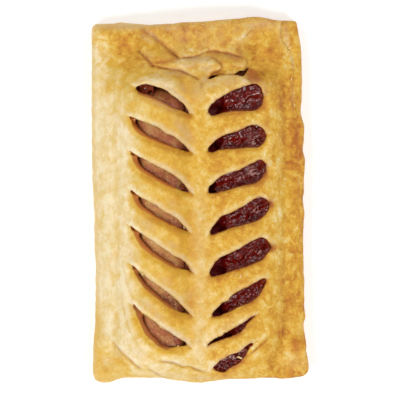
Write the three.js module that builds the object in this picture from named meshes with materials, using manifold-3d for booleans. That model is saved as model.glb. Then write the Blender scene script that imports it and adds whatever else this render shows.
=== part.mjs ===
// Vegan frikandel roll: a flat case of puff pastry, closed over a sausage and a strip of red sauce that lie side by side.
// The lid is slit in a herringbone: seven slits over the sausage, eight over the sauce, with a spine of pastry between them.
// Millimetres. +X is the side of the sauce, +Y the end with the folded flap, +Z up. The roll rests on z = 0.
import * as THREE from "three";
import { mergeVertices } from "three/addons/utils/BufferGeometryUtils.js";
import Module from "manifold-3d";

const wasm = await Module();
wasm.setup();

// ---- driving sizes ----
const LENGTH = 144.2; // end to end along Y, between the mean end edges
const HALF_LENGTH = LENGTH / 2;
const LEFT_EDGE = -42.8; // mean place of the folded long edge
const RIGHT_EDGE = 41.4; // mean place of the lower sheet's long edge
const SEAM_INSET = 3.4; // how far the lid's edge ends short of the lower sheet, mean
const MARGIN_TOP = 8.4; // height of the pressed margin
const SHEET = 3.4; // lower sheet under the filling
const LID = 3.5; // lid over the filling
const GAP = 0.35; // clearance between the pieces
const FLANK = 2.3; // steepest slope of the lid beside the filling, rise over run

const SAUSAGE_RADIUS = 10.7;
const SAUSAGE_X = -15.2; // axis of the sausage
const SAUSAGE_Z = SHEET + GAP + SAUSAGE_RADIUS;
const SAUSAGE_TOP_END = 45.2; // Y of its two ends
const SAUSAGE_LOW_END = -63.5;
const SAUSAGE_NOSE = 6.5; // length of each rounded end
const SAUSAGE_BEND = 0.9; // sideways bow over its length

const SAUCE_LEFT = -11; // the strip of sauce, which the sausage cuts on its left
const SAUCE_END_LEFT = -25.5; // at the flap end the sauce also runs round the sausage's end
const SAUCE_RIGHT = 28.8;
const SAUCE_CREST_X = 9.5;
const SAUCE_CREST = 21.6; // its highest line
const SAUCE_TOP_END = 47.5;
const SAUCE_LOW_END = -67.2;
const SAUCE_NOSE = 9; // length over which each end rounds down

const SPINE_X = -0.6; // where the two rows of slits meet
const PILLOW = 1.2; // how far each strip between two slits rises

// Slits: [inner tip x, y, outer tip x, y, bulge to the north, bulge to the south, bluntness of the outer end]
const SLITS_OVER_SAUSAGE = [
  [-4.7, 34.7, -26.0, 44.6, 3.9, 1.8, 0.1],
  [-4.8, 19.5, -27.9, 33.4, 2.1, 3.4, 0.1],
  [-4.8, 3.3, -27.9, 19.4, 1.5, 3.7, 0.1],
  [-5.6, -12.0, -27.9, 4.2, 1.1, 3.1, 0.08],
  [-4.1, -28.4, -28.3, -10.2, 0.9, 3.7, 0.08],
  [-4.8, -45.1, -27.4, -25.8, 0.8, 3.5, 0.08],
  [-5.7, -58.2, -26.7, -41.4, 0.5, 5.9, 0.1],
];
const SLITS_OVER_SAUCE = [
  [3.6, 34.2, 25.2, 41.6, 4.3, 2.1, 0.03],
  [3.6, 20.0, 26.4, 26.2, 3.8, 2.5, 0.03],
  [4.0, 3.8, 26.8, 13.8, 2.7, 2.9, 0.03],
  [4.8, -13.0, 27.6, -1.0, 3.5, 2.7, 0.04],
  [4.4, -29.6, 28.6, -18.0, 4.1, 2.8, 0.04],
  [5.4, -45.8, 26.2, -32.2, 1.9, 2.6, 0.05],
  [3.0, -58.0, 22.0, -46.4, 0.6, 1.9, 0.12],
  [5.2, -67.6, 20.4, -57.8, 1.7, 2.8, 0.1],
];

// ---- small helpers ----
const clamp01 = (v) => Math.min(1, Math.max(0, v));
const smooth = (a, b, v) => {
  const t = clamp01((v - a) / (b - a));
  return t * t * (3 - 2 * t);
};
const bell = (v, centre, width) =>
  Math.exp(-(((v - centre) / width) ** 2));

// ---- outline of the roll from above ----
const leftEdge = (y) =>
  LEFT_EDGE + 0.7 * bell(y, -32, 24) - 0.6 * smooth(-20, 30, y) + 0.2 * Math.sin(y / 9);
const rightEdge = (y) =>
  RIGHT_EDGE -
  2.1 * smooth(40, 70, y) +
  2.4 * smooth(-56, -67, y) +
  0.4 * Math.sin(y / 7 + 0.6) -
  0.9 * bell(y, 36, 2.2) -
  0.6 * bell(y, -0.5, 2.4);
const seamInset = (y) => SEAM_INSET + 3.2 * smooth(52, 66, y) - 1.8 * smooth(-10, -60, y);
const topEnd = (x) =>
  HALF_LENGTH - 0.9 + 2.35 * bell(x, 21, 8) - 0.6 * bell(x, -21, 9) - 1.0 * smooth(36, 42, x);
const lowEnd = (x) =>
  -HALF_LENGTH + 0.2 - 1.4 * bell(x, -1, 9) - 1.8 * bell(x, -38, 4.5) + 0.9 * bell(x, -24, 7) + 0.9 * bell(x, 35, 5);

// ---- tops of the two fillings ----
// How thick the sausage is at y, against its full radius, and where its axis runs.
function sausageSection(y) {
  const fromEnd = Math.min(y - SAUSAGE_LOW_END, SAUSAGE_TOP_END - y);
  const u = (2 * (y - SAUSAGE_LOW_END)) / (SAUSAGE_TOP_END - SAUSAGE_LOW_END) - 1;
  return {
    full: 0.42 + 0.58 * Math.sqrt(1 - (1 - clamp01(fromEnd / SAUSAGE_NOSE)) ** 2),
    x: SAUSAGE_X + SAUSAGE_BEND * (0.5 - u * u),
  };
}
const sauceLeft = (y) => THREE.MathUtils.lerp(SAUCE_LEFT, SAUCE_END_LEFT, smooth(39, 43.5, y));
const sauceRight = (y) => SAUCE_RIGHT - 3.5 * smooth(-50, -66, y) - 1.5 * smooth(38, 47, y);
function sauceTop(x, y) {
  const fromEnd = Math.min(y - SAUCE_LOW_END, SAUCE_TOP_END - y);
  const full = 0.35 + 0.65 * Math.sqrt(1 - (1 - clamp01(fromEnd / SAUCE_NOSE)) ** 2);
  const right = sauceRight(y);
  const fall =
    x < SAUCE_CREST_X
      ? 1 - 0.12 * ((SAUCE_CREST_X - x) / (SAUCE_CREST_X - SAUCE_LEFT)) ** 2
      : 1 - 0.66 * clamp01((x - SAUCE_CREST_X) / (right - SAUCE_CREST_X)) ** 2.4;
  return SHEET + GAP + (SAUCE_CREST - SHEET - GAP) * full * fall + 0.3 * Math.sin(y / 3.7 + x / 5);
}
function fillingTop(x, y) {
  let z = SHEET;
  if (y >= SAUSAGE_LOW_END && y <= SAUSAGE_TOP_END) {
    const { full, x: axis } = sausageSection(y);
    const r = SAUSAGE_RADIUS * full;
    if (Math.abs(x - axis) < r) z = SAUSAGE_Z + Math.sqrt(r * r - (x - axis) ** 2);
  }
  if (y >= SAUCE_LOW_END && y <= SAUCE_TOP_END && x > Math.min(SAUSAGE_X, sauceLeft(y)) && x < sauceRight(y))
    z = Math.max(z, sauceTop(x, y));
  return z;
}

// ---- crown of the lid: a sheet of even thickness laid over the fillings, its flanks no steeper than FLANK ----
const COVER = LID + GAP;
const TURN = FLANK / Math.hypot(1, FLANK); // sine of the steepest slope
function drape(distance) {
  if (distance < COVER * TURN) return Math.sqrt(COVER ** 2 - distance ** 2);
  return COVER * Math.sqrt(1 - TURN ** 2) - (distance - COVER * TURN) * FLANK;
}
const REACH = [[0, 0, drape(0)]];
for (const [radius, count] of [[1.4, 8], [2.6, 10], [3.6, 12], [5, 12], [6.5, 12], [8.5, 12]])
  for (let i = 0; i < count; i++) {
    const a = (2 * Math.PI * i) / count;
    REACH.push([radius * Math.cos(a), radius * Math.sin(a), drape(radius)]);
  }
function crown(x, y) {
  let z = 0;
  for (const [dx, dy, up] of REACH) z = Math.max(z, fillingTop(x + dx, y + dy) + up);
  return z;
}
// 0 on a slit's line, 1 halfway to the next: the strips between the slits stand up as pillows.
function pillow(x, y) {
  const row = x < SPINE_X ? SLITS_OVER_SAUSAGE : SLITS_OVER_SAUCE;
  const lines = row.map(([xi, yi, xo, yo, north, south]) => {
    const slope = (yo - yi) / (xo - xi);
    return yi + slope * (x - xi) + (north - south) / 2;
  });
  for (let k = 0; k + 1 < lines.length; k++)
    if (y <= lines[k] && y >= lines[k + 1])
      return Math.sin((Math.PI * (lines[k] - y)) / (lines[k] - lines[k + 1]));
  return 0;
}
const softMax = (a, b, k) => {
  const h = Math.max(k - Math.abs(a - b), 0) / k;
  return Math.max(a, b) + (h * h * k) / 4;
};
function lidHeight(x, y) {
  const over = crown(x, y);
  const section = smooth(12, 20, over);
  let margin = MARGIN_TOP - 1.5 * smooth(31, 36, x);
  margin += 0.35 * Math.sin(x / 6.1 + y / 8.3);
  // the folded flap lies above the crown's upper end as a low step
  margin += 5.6 * smooth(63, 52, y) * smooth(-30, -18, x) * (1 - smooth(17, 27, x));
  let z = softMax(margin, over, 4.5);
  z += PILLOW * pillow(x, y) * section;
  z += 1.3 * bell(y, 56.5 + 0.05 * x, 3.4) * smooth(-26, -8, x) * (1 - smooth(16, 21, x));
  // the pressed margin sags a little beside the crown, and puffs up along the folded edge
  z -= 0.9 * bell(x, -34.5, 2.6);
  return z;
}

// ---- a closed solid from equal rings, ends closed by triangles across the first and last ring ----
function loft(rings) {
  const n = rings[0].length;
  const positions = rings.flat().flatMap((p) => [p.x, p.y, p.z]);
  const index = [];
  for (let r = 0; r + 1 < rings.length; r++)
    for (let i = 0; i < n; i++) {
      const j = (i + 1) % n;
      const a = r * n + i,
        b = r * n + j,
        c = (r + 1) * n + j,
        d = (r + 1) * n + i;
      index.push(a, b, c, a, c, d);
    }
  const area = (p, q, r) => (q.x - p.x) * (r.y - p.y) - (r.x - p.x) * (q.y - p.y);
  const cap = (ring, base, along) => {
    const flat = ring.map((p) => new THREE.Vector2(p.x, p.z));
    const turn = Math.sign(THREE.ShapeUtils.area(flat)) * (along ? 1 : -1);
    for (const [a, b, c] of THREE.ShapeUtils.triangulateShape(flat.slice(), []))
      if (area(flat[a], flat[b], flat[c]) * turn > 0) index.push(base + a, base + b, base + c);
      else index.push(base + a, base + c, base + b);
  };
  cap(rings[0], 0, false);
  cap(rings.at(-1), (rings.length - 1) * n, true);
  const geometry = new THREE.BufferGeometry();
  geometry.setAttribute("position", new THREE.Float32BufferAttribute(positions, 3));
  geometry.setIndex(index);
  return geometry;
}

// ---- to and from the boolean kernel ----
function solid(geometry) {
  const bare = geometry.clone();
  bare.deleteAttribute("normal");
  bare.deleteAttribute("uv");
  const merged = mergeVertices(bare, 1e-4);
  const make = (triVerts) =>
    new wasm.Manifold(
      new wasm.Mesh({
        numProp: 3,
        vertProperties: new Float32Array(merged.attributes.position.array),
        triVerts,
      }),
    );
  const triangles = new Uint32Array(merged.index.array);
  const made = make(triangles);
  if (made.volume() > 0) return made;
  for (let i = 0; i < triangles.length; i += 3)
    [triangles[i + 1], triangles[i + 2]] = [triangles[i + 2], triangles[i + 1]];
  return make(triangles);
}
function geometryOf(manifold) {
  const mesh = manifold.getMesh();
  const n = mesh.numProp;
  const positions = new Float32Array(mesh.numVert * 3);
  for (let i = 0; i < mesh.numVert; i++)
    for (let k = 0; k < 3; k++) positions[i * 3 + k] = mesh.vertProperties[i * n + k];
  const geometry = new THREE.BufferGeometry();
  geometry.setAttribute("position", new THREE.BufferAttribute(positions, 3));
  geometry.setIndex(new THREE.BufferAttribute(new Uint32Array(mesh.triVerts), 1));
  geometry.computeVertexNormals();
  return geometry;
}

// ---- the pastry's outer body ----
const END_ROUND = 4.2; // rounding of the two short ends
const TOP_STATIONS = 27; // steps across the lid, even along its section
const END_STEPS = [0, 0.4, 1.2, 2.4, 4.2]; // distances from an end at which the rounding is followed
const MID_STATIONS = 43;
const FINE = 150; // samples from which the even steps are taken
// x places from a to b that are evenly spaced along the section z(x).
function evenAlong(a, b, z) {
  const xs = Array.from({ length: FINE + 1 }, (_, i) => THREE.MathUtils.lerp(a, b, i / FINE));
  const runs = [0];
  for (let i = 1; i <= FINE; i++)
    runs.push(runs[i - 1] + Math.hypot(xs[i] - xs[i - 1], z(xs[i]) - z(xs[i - 1])));
  const out = [a];
  let i = 1;
  for (let k = 1; k < TOP_STATIONS; k++) {
    const goal = (runs[FINE] * k) / TOP_STATIONS;
    while (runs[i] < goal) i++;
    out.push(THREE.MathUtils.lerp(xs[i - 1], xs[i], (goal - runs[i - 1]) / (runs[i] - runs[i - 1])));
  }
  return [...out, b];
}

function outerRing(distance) {
  // distance runs from the low end, 0, to the flap end, LENGTH
  const t = distance / LENGTH;
  const fromEnd = Math.min(distance, LENGTH - distance);
  const yMid = THREE.MathUtils.lerp(-HALF_LENGTH, HALF_LENGTH, t);
  const yAt = (x) => THREE.MathUtils.lerp(lowEnd(x), topEnd(x), t);
  const round = Math.sqrt(1 - (1 - clamp01(fromEnd / END_ROUND)) ** 2);
  const low = 1.6 * (1 - clamp01(fromEnd / 0.8));
  const corner = 2.6 * (1 - round); // the corners are rounded in plan
  const xL = leftEdge(yMid) + corner;
  const xR = rightEdge(yMid) - corner;
  const xS = xR - seamInset(yMid);
  const top = (x, y) => {
    const edge = 3.4;
    return edge + (lidHeight(x, y) - edge) * round;
  };
  const at = (x, z) => new THREE.Vector3(x, yAt(x), z);
  const ring = [];
  const zl = top(xL + 2.2, yAt(xL));
  ring.push(at(xL + 1.4, low));
  ring.push(at(xL + 0.25, low + (zl - low) * 0.2));
  ring.push(at(xL, low + (zl - low) * 0.45));
  ring.push(at(xL + 0.35, low + (zl - low) * 0.75));
  for (const x of evenAlong(xL + 1.6, xS - 0.7, (x) => top(x, yAt(x)))) {
    const nearFold = 1 - clamp01((x - xL) / 5);
    ring.push(at(x, low + (top(x, yAt(x)) - low) * (1 - 0.1 * nearFold ** 2)));
  }
  const zs = top(xS - 0.7, yAt(xS));
  ring.push(at(xS, low + (zs - low) * 0.86));
  ring.push(at(xS + 0.15, low + (zs - low) * 0.62));
  ring.push(at(xR - 0.7, low + (zs - low) * 0.55));
  ring.push(at(xR, low + (zs - low) * 0.38));
  ring.push(at(xR - 0.1, low + (zs - low) * 0.12));
  ring.push(at(xR - 0.8, low));
  return ring;
}
const stations = [
  ...END_STEPS,
  ...Array.from({ length: MID_STATIONS - 1 }, (_, i) =>
    THREE.MathUtils.lerp(END_STEPS.at(-1), LENGTH - END_STEPS.at(-1), (i + 1) / MID_STATIONS),
  ),
  ...END_STEPS.map((d) => LENGTH - d).reverse(),
];
const outerBody = solid(loft(stations.map(outerRing)));

// ---- the sausage: a slightly bowed rod with blunt round ends ----
function sausage(grow, sides) {
  const length = SAUSAGE_TOP_END - SAUSAGE_LOW_END;
  const near = [0, 0.35, 1.2, 2.8, 4.6, SAUSAGE_NOSE];
  const middle = Array.from({ length: 9 }, (_, i) =>
    THREE.MathUtils.lerp(SAUSAGE_NOSE, length - SAUSAGE_NOSE, (i + 1) / 10),
  );
  const steps = [...near, ...middle, ...near.map((d) => length - d).reverse()];
  return loft(
    steps.map((d) => {
      const y = SAUSAGE_LOW_END + d;
      const { full, x } = sausageSection(y);
      const r = SAUSAGE_RADIUS * full + grow;
      const stretch = 1 + (2 * grow) / length;
      return Array.from({ length: sides }, (_, i) => {
        const a = (2 * Math.PI * i) / sides;
        return new THREE.Vector3(
          x + r * Math.cos(a),
          SAUSAGE_LOW_END - grow + d * stretch,
          SAUSAGE_Z + r * Math.sin(a),
        );
      });
    }),
  );
}

// ---- the sauce: a flat-bottomed strip with a low crown ----
function sauce(grow) {
  const length = SAUCE_TOP_END - SAUCE_LOW_END;
  const floor = SHEET + GAP - grow;
  const across = 11;
  const near = [0, 0.8, 2.4, 5, SAUCE_NOSE];
  const middle = Array.from({ length: 17 }, (_, i) =>
    THREE.MathUtils.lerp(SAUCE_NOSE, length - SAUCE_NOSE, (i + 1) / 18),
  );
  const steps = [...near, ...middle, ...near.map((d) => length - d).reverse()];
  return loft(
    steps.map((d) => {
      const y = SAUCE_LOW_END + d;
      const placed = SAUCE_LOW_END - grow + d * (1 + (2 * grow) / length);
      const left = sauceLeft(y + 3 * grow);
      const right = sauceRight(y);
      const ring = [new THREE.Vector3(left - grow, placed, floor)];
      for (let i = 0; i <= across; i++) {
        const x = THREE.MathUtils.lerp(left, right, Math.sin((i / across) * Math.PI * 0.5) ** 0.8);
        const side = i === 0 ? -grow : i === across ? grow : 0;
        ring.push(new THREE.Vector3(x + side, placed, sauceTop(x, y) + grow * 2));
      }
      ring.push(new THREE.Vector3(right + grow, placed, floor));
      return ring;
    }),
  );
}

// ---- slit cutters: leaf-shaped prisms through the lid ----
const SLIT_FLOOR = SAUSAGE_Z - 1.5; // deep enough to reach the filling under the lid's flanks
function slitCutter([xi, yi, xo, yo, north, south, blunt]) {
  const inner = new THREE.Vector2(xi, yi),
    outer = new THREE.Vector2(xo, yo);
  const chord = outer.clone().sub(inner);
  const normal = new THREE.Vector2(-chord.y, chord.x).normalize();
  if (normal.y < 0) normal.negate();
  const point = (along, off) =>
    inner.clone().addScaledVector(chord, along).addScaledVector(normal, off / 0.75);
  const shape = new THREE.Shape();
  shape.moveTo(inner.x, inner.y);
  const n1 = point(0.2, north),
    n2 = point(1 - blunt, north);
  shape.bezierCurveTo(n1.x, n1.y, n2.x, n2.y, outer.x, outer.y);
  const s1 = point(1 - blunt, -south),
    s2 = point(0.2, -south);
  shape.bezierCurveTo(s1.x, s1.y, s2.x, s2.y, inner.x, inner.y);
  const prism = new THREE.ExtrudeGeometry(shape, {
    depth: 30,
    bevelEnabled: false,
    curveSegments: 6,
  });
  prism.translate(0, 0, SLIT_FLOOR);
  return solid(prism);
}

// ---- the three pieces ----
const sausageBody = solid(sausage(0, 22));
const sausageRoom = solid(sausage(GAP, 22));
const sauceBody = solid(sauce(0)).subtract(sausageRoom);
const cavity = sausageRoom.add(solid(sauce(GAP)));
let pastryBody = outerBody.subtract(cavity);
for (const slit of [...SLITS_OVER_SAUSAGE, ...SLITS_OVER_SAUCE])
  pastryBody = pastryBody.subtract(slitCutter(slit));

// The largest body, should a cut leave a sliver loose.
const whole = (manifold) =>
  manifold.decompose().sort((a, b) => b.volume() - a.volume())[0];

const pastryColour = new THREE.MeshStandardMaterial({ color: 0xdcae62, roughness: 0.75 });
const sausageColour = new THREE.MeshStandardMaterial({ color: 0xa5693f, roughness: 0.6 });
const sauceColour = new THREE.MeshStandardMaterial({ color: 0x6a1a12, roughness: 0.35 });

const pieces = [
  ["pastry", whole(pastryBody), pastryColour],
  ["frikandel", whole(sausageBody), sausageColour],
  ["sauce", whole(sauceBody), sauceColour],
];

// The roll's own origin: the middle of its box, on the surface it rests on.
const box = pieces[0][1].boundingBox();
const shift = [-(box.min[0] + box.max[0]) / 2, -(box.min[1] + box.max[1]) / 2, -box.min[2]];

const roll = new THREE.Group();
roll.name = "vegan_frikandel_roll";
for (const [name, body, material] of pieces) {
  const mesh = new THREE.Mesh(geometryOf(body.translate(shift)), material);
  mesh.name = name;
  roll.add(mesh);
}

export default roll;
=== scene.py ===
import math

import bpy
import numpy as np
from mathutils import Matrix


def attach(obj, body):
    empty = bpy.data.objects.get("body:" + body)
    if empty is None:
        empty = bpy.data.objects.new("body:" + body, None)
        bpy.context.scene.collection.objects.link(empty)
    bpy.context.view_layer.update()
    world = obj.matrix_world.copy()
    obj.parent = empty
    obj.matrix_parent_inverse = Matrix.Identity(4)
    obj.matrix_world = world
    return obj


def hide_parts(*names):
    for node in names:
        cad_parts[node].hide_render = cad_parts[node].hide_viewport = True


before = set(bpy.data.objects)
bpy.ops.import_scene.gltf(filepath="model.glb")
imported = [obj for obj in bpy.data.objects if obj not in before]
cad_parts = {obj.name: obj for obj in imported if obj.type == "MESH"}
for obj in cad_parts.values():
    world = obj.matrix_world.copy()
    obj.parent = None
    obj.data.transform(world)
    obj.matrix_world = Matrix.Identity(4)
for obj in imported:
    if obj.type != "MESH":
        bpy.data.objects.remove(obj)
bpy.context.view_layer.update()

MM = 0.001

# ---------------------------------------------------------------------------------------------
# Places are worked out in millimetres. P() turns a place in the photograph's 400 x 400 frame
# into the roll's own plan: +X to the photo's right, +Y to its top, 0.40 mm to a pixel.
# ---------------------------------------------------------------------------------------------
PX = 0.4
CX, CY = 200.09, 199.62


def P(*uv):
    a = np.array(uv, float).reshape(-1, 2)
    return np.stack([(a[:, 0] - CX) * PX, (CY - a[:, 1]) * PX], 1)


def ux(u):
    return (np.asarray(u, float) - CX) * PX


def vy(v):
    return (CY - np.asarray(v, float)) * PX


# ---------------------------------------------------------------------------------------------
# small maths
# ---------------------------------------------------------------------------------------------
def clamp01(v):
    return np.clip(v, 0.0, 1.0)


def smooth(a, b, v):
    t = clamp01((v - a) / (b - a))
    return t * t * (3 - 2 * t)


def lerp(a, b, t):
    return a + (b - a) * t


def bell(v, c, w):
    return np.exp(-(((v - c) / w) ** 2))


def smax(a, b, k):
    h = np.maximum(k - np.abs(a - b), 0.0) / k
    return np.maximum(a, b) + h * h * k * 0.25


def smin(a, b, k):
    return -smax(-a, -b, k)


def table(seed, n=256):
    return np.random.default_rng(seed).permutation(n)


def noise2(x, y, scale, seed):
    """Gradient noise, about -1 to 1, with features of the size scale."""
    perm = table(seed)
    ang = np.random.default_rng(seed + 77).uniform(0, 2 * np.pi, 256)
    gx, gy = np.cos(ang), np.sin(ang)
    u, v = x / scale + 500.0, y / scale + 500.0
    i, j = np.floor(u).astype(int), np.floor(v).astype(int)
    fu, fv = u - i, v - j
    su, sv = fu**3 * (fu * (6 * fu - 15) + 10), fv**3 * (fv * (6 * fv - 15) + 10)

    def corner(a, b):
        h = perm[(perm[(i + a) & 255] + j + b) & 255]
        return gx[h] * (fu - a) + gy[h] * (fv - b)

    return 1.5 * lerp(lerp(corner(0, 0), corner(1, 0), su), lerp(corner(0, 1), corner(1, 1), su), sv)


def fbm2(x, y, scale, seed, octaves=3, gain=0.5):
    total, amp = 0.0, 1.0
    for o in range(octaves):
        total = total + amp * noise2(x, y, scale / 2**o, seed + 13 * o)
        amp *= gain
    return total


def spline(points, n):
    """Catmull-Rom through points, resampled to n points evenly along its length."""
    p = np.asarray(points, float)
    q = np.vstack([2 * p[0] - p[1], p, 2 * p[-1] - p[-2]])
    t = np.linspace(0, 1, 12, endpoint=False)[:, None]
    out = []
    for a, b, c, d in zip(q[:-3], q[1:-2], q[2:-1], q[3:]):
        out.append(0.5 * (2 * b + (c - a) * t + (2 * a - 5 * b + 4 * c - d) * t**2 + (3 * b - a - 3 * c + d) * t**3))
    out = np.vstack(out + [p[-1:]])
    run = np.concatenate([[0], np.cumsum(np.hypot(*np.diff(out, axis=0).T))])
    s = np.linspace(0, run[-1], n)
    return np.stack([np.interp(s, run, out[:, 0]), np.interp(s, run, out[:, 1])], 1)


def seg_distance(X, Y, line, closed=False):
    """Distance to a polyline, with the place along it from 0 to 1 and the side, positive on its left."""
    p = np.asarray(line, float)
    q = np.roll(p, -1, axis=0) if closed else p[1:]
    p = p if closed else p[:-1]
    run = np.concatenate([[0], np.cumsum(np.hypot(*(q - p).T))])
    best = np.full(X.shape, 1e9)
    along = np.zeros(X.shape)
    side = np.zeros(X.shape)
    for k, (a, b) in enumerate(zip(p, q)):
        d = b - a
        l2 = float(d @ d) + 1e-12
        t = clamp01(((X - a[0]) * d[0] + (Y - a[1]) * d[1]) / l2)
        dx, dy = X - a[0] - t * d[0], Y - a[1] - t * d[1]
        dist = dx * dx + dy * dy
        m = dist < best
        best[m] = dist[m]
        along[m] = ((run[k] + t * (run[k + 1] - run[k])) / run[-1])[m]
        side[m] = (d[0] * dy - d[1] * dx)[m]
    return np.sqrt(best), along, np.sign(side)


def polygon_distance(X, Y, poly, reach):
    """Signed distance to a closed outline, negative inside, worked out only within reach of it."""
    poly = np.asarray(poly, float)
    out = np.full(X.shape, reach)
    lo, hi = poly.min(0) - reach, poly.max(0) + reach
    m = (X > lo[0]) & (X < hi[0]) & (Y > lo[1]) & (Y < hi[1])
    if not m.any():
        return out
    x, y = X[m], Y[m]
    d, _, _ = seg_distance(x, y, poly, closed=True)
    inside = np.zeros(x.shape, bool)
    q = np.roll(poly, -1, axis=0)
    for a, b in zip(poly, q):
        cross = (a[1] > y) != (b[1] > y)
        with np.errstate(divide="ignore", invalid="ignore"):
            at = (b[0] - a[0]) * (y - a[1]) / (b[1] - a[1] + 1e-12) + a[0]
        inside ^= cross & (x < at)
    out[m] = np.minimum(np.where(inside, -d, d), reach)
    return out


def blur(a, sigma_cells):
    r = int(math.ceil(3 * sigma_cells))
    k = np.exp(-0.5 * (np.arange(-r, r + 1) / sigma_cells) ** 2)
    k /= k.sum()
    for axis in (0, 1):
        pad = [(r, r) if ax == axis else (0, 0) for ax in range(2)]
        b = np.pad(a, pad, mode="edge")
        a = sum(k[i] * np.take(b, range(i, i + a.shape[axis]), axis=axis) for i in range(2 * r + 1))
    return a


# ---------------------------------------------------------------------------------------------
# plan grid
# ---------------------------------------------------------------------------------------------
H = 0.22  # step of the plan maps
STEP = 0.49  # step of the solid grid that the crust is meshed from
xs = np.arange(-45.0, 45.0 + H, H)
ys = np.arange(-75.0, 75.0 + H, H)
X, Y = np.meshgrid(xs, ys, indexing="ij")


def on_grid(field, x, y):
    """The plan field at any places, straight between the grid's points."""
    u = np.clip((x - xs[0]) / H, 0, len(xs) - 1.001)
    v = np.clip((y - ys[0]) / H, 0, len(ys) - 1.001)
    i, j = u.astype(int), v.astype(int)
    fu, fv = u - i, v - j
    return lerp(lerp(field[i, j], field[i + 1, j], fu), lerp(field[i, j + 1], field[i + 1, j + 1], fu), fv)


# ---------------------------------------------------------------------------------------------
# outline from above
# ---------------------------------------------------------------------------------------------
LEFT = [(16, 92), (34, 91.3), (60, 91.5), (100, 91.2), (140, 91.6), (178, 92), (195, 93), (214, 94), (250, 94.1), (265, 95.8),
        (280, 95.3), (304, 95), (322, 95), (340, 93.4), (360, 92.7), (385, 92.4)]
RIGHT = [(16, 296.5), (22, 297), (34, 299), (46, 301), (58, 302), (94, 302.2), (104, 301.6), (110, 300.6), (118, 302), (124, 304.4),
         (141, 304.2), (150, 303), (160, 305.7), (178, 304.2), (193, 304), (200, 302.8), (212, 304.6), (232, 303.4), (265, 304),
         (308, 304.8), (318, 305.8), (323, 303.6), (334, 304.8), (346, 306.8), (353, 306.6), (362, 308.6), (370, 309), (385, 308.6)]
TOP = [(88, 24), (102, 23), (112, 23), (122, 22), (142, 24), (152, 24.2), (172, 23.2), (182, 22.2), (202, 21.3), (212, 20.3), (232, 19),
       (242, 18), (252, 16), (262, 17), (272, 19), (282, 20), (296, 20), (312, 23)]
LOW = [(88, 383), (94, 384), (99, 383.8), (110, 382.6), (122, 378.6), (132, 378), (162, 378), (172, 380), (182, 381), (192, 382.4),
       (202, 383), (212, 381.4), (222, 380), (232, 379), (252, 379), (262, 378), (272, 378), (282, 379), (292, 378.4), (300, 377.4),
       (312, 375)]


def edge_curve(points, at, flip):
    p = np.array(points, float)
    key = vy(p[:, 0]) if flip else ux(p[:, 0])
    val = ux(p[:, 1]) if flip else vy(p[:, 1])
    order = np.argsort(key)
    fine = np.linspace(key.min(), key.max(), 700)
    curve = np.interp(fine, key[order], val[order])
    k = np.hanning(19)
    k /= k.sum()
    curve = np.convolve(np.pad(curve, 9, mode="edge"), k, mode="valid")
    return np.interp(at, fine, curve)


INSET = -0.02  # the outline that the photo shows is the mesh's own edge, less this
EDGE_L = edge_curve(LEFT, Y, True) + INSET
EDGE_R = edge_curve(RIGHT, Y, True) - INSET
EDGE_T = edge_curve(TOP, X, False) - INSET
EDGE_B = edge_curve(LOW, X, False) + INSET
in_left, in_right, in_top, in_low = X - EDGE_L, EDGE_R - X, EDGE_T - Y, Y - EDGE_B
side_in = smin(smin(in_left, in_right, 0.5), 99.0, 1.0)
corner = lerp(2.2, 5.5, smooth(40, -60, Y)) * lerp(1.0, lerp(0.8, 0.6, smooth(0, -60, Y)), smooth(-20, 20, X))
plan_in = smin(smin(in_left, in_right, 1.0), smin(in_top, in_low, 1.0), corner)
plan_in += 0.16 * noise2(X, Y, 3.1, 5) * (1 - smooth(0, 6, plan_in))

# the lid's own edge on the right, short of the lower sheet
SEAM = [(16, 281), (40, 281), (46, 286), (60, 291.5), (80, 293), (105, 293), (120, 294), (129, 296), (147, 296.2), (175, 297.4),
        (265, 299.4), (300, 301.5), (340, 304), (385, 306)]
seam_x = edge_curve(SEAM, Y, True) + 0.9 * noise2(X * 0 + 3, Y, 5.2, 31) + 0.5 * noise2(X * 0.4 + 9, Y, 2.1, 32) + 0.3 * noise2(X, Y, 1.1, 34)

# ---------------------------------------------------------------------------------------------
# fillings: their tops, as in the solids
# ---------------------------------------------------------------------------------------------
SHEET, LID, GAP = 3.4, 3.5, 0.35
FLANK = 2.3
ROD_R, ROD_X = 10.7, -15.2
ROD_Z = SHEET + GAP + ROD_R
ROD_TOP, ROD_LOW, ROD_NOSE, ROD_BEND = 45.2, -63.5, 6.5, 0.9
SAUCE_L, SAUCE_END_L, SAUCE_R, CREST_X, CREST = -11.0, -25.5, 28.8, 9.5, 21.6
SAUCE_TOP_Y, SAUCE_LOW_Y, SAUCE_NOSE = 47.5, -67.2, 9.0


def rod_section(y):
    from_end = np.minimum(y - ROD_LOW, ROD_TOP - y)
    full = 0.42 + 0.58 * np.sqrt(np.maximum(1 - (1 - clamp01(from_end / ROD_NOSE)) ** 2, 0))
    u = 2 * (y - ROD_LOW) / (ROD_TOP - ROD_LOW) - 1
    return full, ROD_X + ROD_BEND * (0.5 - u * u)


def sauce_left(y):
    return lerp(SAUCE_L, SAUCE_END_L, smooth(39.0, 43.5, y))


def sauce_right(y):
    return SAUCE_R - 3.5 * smooth(-50, -66, y) - 1.5 * smooth(38, 47, y)


def sauce_top(x, y):
    from_end = np.minimum(y - SAUCE_LOW_Y, SAUCE_TOP_Y - y)
    full = 0.35 + 0.65 * np.sqrt(np.maximum(1 - (1 - clamp01(from_end / SAUCE_NOSE)) ** 2, 0))
    right = sauce_right(y)
    fall = np.where(
        x < CREST_X,
        1 - 0.12 * ((CREST_X - x) / (CREST_X - SAUCE_L)) ** 2,
        1 - 0.66 * clamp01((x - CREST_X) / (right - CREST_X)) ** 2.4,
    )
    return SHEET + GAP + (CREST - SHEET - GAP) * full * fall


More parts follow.
